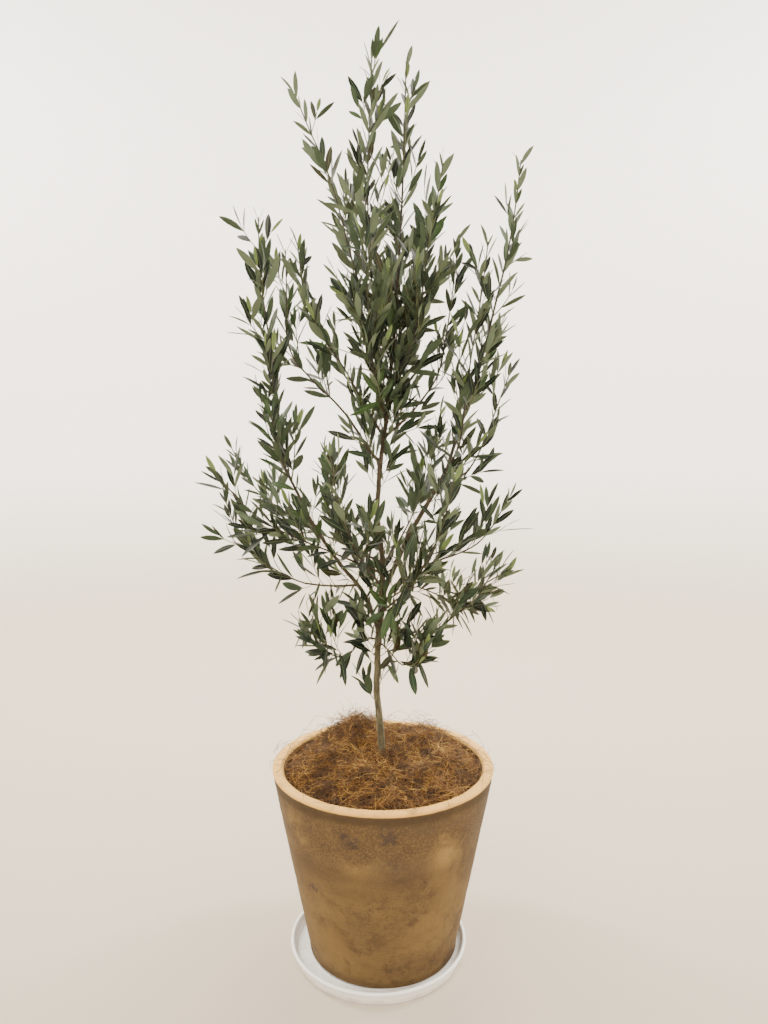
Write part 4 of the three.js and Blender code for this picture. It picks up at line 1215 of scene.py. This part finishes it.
def limbSkin(line, radiusAt, sides, collar, buds, seed):  # a limb with its bark's relief
    points, places = smoothLine(line, bark["step"])
    travelled = places * lineLength(line)
    radii = np.array([radiusAt(t) for t in places])
    radii *= 1 + collar * np.exp(-travelled / bark["collarLength"])
    radii *= 1 + buds * np.exp(-((travelled % bark["budGap"]) / bark["budLength"] - 1) ** 2)
    skin, faces, outward = tube(points, radii, sides)
    lump = bark["relief"] * wavy(skin * [1, 1, 0.45], bark["reliefSize"], seed)
    lump += 0.5 * bark["relief"] * wavy(skin * [1, 1, 0.2], bark["fineSize"], seed + 50)
    lump *= np.clip(np.repeat(radii, sides) / 0.006, 0.3, 1)  # smoother where the limb is thin
    return skin + outward * lump[:, None], faces


def trunkWithForks(t):
    forks = np.array([limb["t"] for limb in boughs.values() if limb.get("on") == "trunk"])
    apart = (forks - t) * (trunk["topHeight"] - rimHeight)
    near = float(np.exp(-(apart / bark["forkLength"]) ** 2).sum())
    return trunkRadius(t) + bark["forkSwell"] * min(near, 1)


def barkStubs():  # where small shoots were cut off
    line = boughs["trunk"]["line"]
    draw = seeded(91)
    for height in bark["stubs"]:
        t = (height - line[0][2]) / (trunk["topHeight"] - line[0][2])
        out = direction(360 * draw(), 28)
        start = pointAt(line, t) + out * trunkRadius(t) * 0.6
        length = trunkRadius(t) * 0.4 + bark["stubLength"]
        stub = np.array([start, start + out * length * 0.6, start + out * length])
        yield tube(stub, bark["stubRadius"] * np.array([1.5, 1.05, 0.8]), bark["stubSides"])[:2]


def buildBark():
    pile = Pile()
    for number, (name, limb) in enumerate(boughs.items()):
        if name == "trunk":
            shape = (trunkWithForks, bark["trunkSides"], 0, bark["trunkBudSwell"])
        else:
            shape = (limb["radiusAt"], bark["boughSides"], bark["collar"], bark["budSwell"])
        pile.put(*limbSkin(limb["line"], *shape, 60 + number))
    for stub in barkStubs():
        pile.put(*stub)
    solids = [name for name in frame["nodes"] if name == "trunk" or name.startswith("bough_")]
    dress(pile.mesh("bark", [barkSkin()]), "bark", *solids)


def shootSkin(name, shade):
    shader = Shader(name)
    speckle = shader.noise(600, 3, 0.6)
    tone = shader.mix(0.35 * speckle.rise(0.45, 0.7), colour(shade), colour(bark["dark"]))
    return shader.finish({"Base Color": tone, "Roughness": 0.7})


def buildTwigs():
    pile = Pile()
    draw = seeded(17)
    sides = sprays["stemSides"]
    for stem, (twigs, _) in zip(stems, masses):
        root = boughs.get(stem["name"], boughs["trunk"])["line"]
        line = np.vstack([pointAt(root, 0.97), stem["line"]])  # it starts inside its bough
        points, places = smoothLine(line, sprays["stemStep"])
        radii = stem["radius"] + (finer["stemTip"] - stem["radius"]) * places ** 0.8
        sinceNode = (places * lineLength(line)) % leaf["gap"]
        radii *= 1 + sprays["nodeSwell"] * np.exp(-(sinceNode / bark["budLength"] - 1) ** 2)
        skin, faces, _ = tube(points, radii, sides)
        oldFaces = len(points) // 2 * sides
        pile.put(skin, faces, [0] * oldFaces + [1] * (len(faces) - oldFaces))
        for shoot in twigs:
            points, places = smoothLine(shoot["line"], sprays["twigStep"])
            radii = shoot["radius"] + (finer["twigTip"] - shoot["radius"]) * places
            skin, faces, _ = tube(points, radii, sprays["twigSides"])
            pile.put(skin, faces, 1 if shoot["radius"] > sprays["stout"] and draw() < sprays["woody"] else 2)
    named = [("oldShoots", "old"), ("twigs", "mid"), ("youngShoots", "young")]
    skins = [shootSkin(name, sprays[key]) for name, key in named]
    solids = [name for name in frame["nodes"] if name.startswith("foliage_")]
    dress(pile.mesh("twigs", skins), "bark", *solids)
    print("  twigs", len(pile.faces), "faces")


buildBark()
buildTwigs()
print("bark and twigs")


blades = [  # upper sides, dealt out by spray: colour and share
    ("leafDeep", "#0d170d", 0.30), ("leafMid", "#162113", 0.28), ("leafGrey", "#2b3929", 0.18),
    ("leafOlive", "#2f2b15", 0.12), ("leafFresh", "#324722", 0.12),
]
unders = [("leafSilver", "#647159"), ("leafFelt", "#45523d")]
tips = ("leafYoung", "#667843")  # the youngest leaves at the ends
midrib = ("leafRib", "#4d5a35")
# roughness and shine
gloss = {"blade": [0.5, 0.28], "under": [0.8, 0.2], "young": [0.55, 0.3], "rib": [0.6, 0.25]}


def leafSkins():
    def plain(name, shade, side):
        roughness, shine = gloss[side]
        sockets = {"Base Color": colour(shade), "Roughness": roughness, "Specular IOR Level": shine}
        return Shader(name).finish(sockets)

    skins = [plain(name, shade, "blade") for name, shade, _ in blades]
    return [*skins, plain(*tips, "young"), plain(*midrib, "rib"), *[plain(*u, "under") for u in unders]]


# Points as shares of length, half width and thickness, faces, each face's side, and the points on the edge.
def leafShape():
    points, faces, sides = [(0, 0, 0)], [], []
    for place, half in zip(leaf["stations"], leaf["halfWidths"]):
        rib = min(leaf["rib"], 0.6 * half)
        section = [(-half, 0), (-rib, 0.5), (rib, 0.5), (half, 0), (0, -0.7)]
        points += [(place, across, high) for across, high in section]
    tip = len(points)
    points.append((1, 0, 0))
    count = len(leaf["stations"])
    strips = [(1, 2, "blade"), (2, 3, "rib"), (3, 4, "blade"), (4, 5, "under"), (5, 1, "under")]
    for a, b, side in strips:
        faces.append((0, a, b))
        faces += [(5 * i + a, 5 * i + 5 + a, 5 * i + 5 + b, 5 * i + b) for i in range(count - 1)]
        faces.append((5 * count - 5 + a, tip, 5 * count - 5 + b))
        sides += [side] * (count + 1)
    outline = np.array([i in (0, tip) or (i - 1) % 5 in (0, 3) for i in range(tip + 1)])
    return np.array(points, dtype=float), faces, sides, outline


def bentLeaf(place, shape, draw):  # one leaf's points: bowed, folded and swept its own way
    root, forward, face, size = (place[k] for k in ("root", "forward", "face", "size"))
    bow, fold, sweep = along(leaf["bow"], draw()), along(leaf["fold"], draw()), varied(leaf["sweep"], draw())
    length = leaf["length"] * size
    half = leaf["width"] * size / 2 * (leaf["slimmest"] + leaf["broader"] * draw())
    u, v, w = shape.T
    rise = w * leaf["thickness"] + fold * half * np.abs(v) - bow * length * u ** 2
    aside = v * half + sweep * length * u ** 2
    across = np.cross(face, forward)
    return root + np.outer(u * length, forward) + np.outer(aside, across) + np.outer(rise, face)


def sprayPaints(index, spray):  # the upper and under paint that the leaves of one spray share
    draw = seeded(400 + 97 * index + spray)
    shares = np.cumsum([share for *_, share in blades])
    return int(np.searchsorted(shares, draw() * 0.999)), int(draw() * len(unders))


def sharpenOutlines(data, outline):  # crisp edges round each leaf, smooth ones across it
    pairs = np.empty(len(data.edges) * 2, dtype=np.int32)
    data.edges.foreach_get("vertices", pairs)
    pairs = pairs.reshape(-1, 2) % len(outline)
    sharp = data.attributes.new("sharp_edge", "BOOLEAN", "EDGE")
    sharp.data.foreach_set("value", outline[pairs[:, 0]] & outline[pairs[:, 1]])


def buildLeaves(name, indices, paints):
    shape, faces, sides, outline = leafShape()
    young, rib, under = len(blades), len(blades) + 1, len(blades) + 2  # where these stand among the paints
    leaves, kinds = [], []
    for index in indices:
        for spray, place in masses[index][1]:
            upperPaint, underPaint = sprayPaints(index, spray)
            draw = seeded(int(place["chance"] * 1e6) + 3)
            if place["t"] > leaf["pale"]["from"] and draw() < leaf["pale"]["chance"]:
                upperPaint = young
            leaves.append(bentLeaf(place, shape, draw))
            slots = {"blade": upperPaint, "rib": rib, "under": under + underPaint}
            kinds += [slots[side] for side in sides]
    joined = [tuple(v + len(shape) * i for v in face) for i in range(len(leaves)) for face in faces]
    piece = meshOf(name, np.vstack(leaves), joined, paints, kinds)
    sharpenOutlines(piece.data, outline)
    dress(piece, "leaves", *["foliage_" + stems[index]["name"] for index in indices])
    triangles = sum(len(p.vertices) - 2 for p in piece.data.polygons)
    print("  ", name, len(leaves), "leaves", triangles, "triangles")


leafPaints = leafSkins()
lowMasses = [i for i, stem in enumerate(stems) if stem["line"][0][2] < leaf["lowBelow"]]
highMasses = [i for i in range(len(stems)) if i not in lowMasses]
buildLeaves("leaves_low", lowMasses, leafPaints)
buildLeaves("leaves_high", highMasses, leafPaints)
print("leaves")
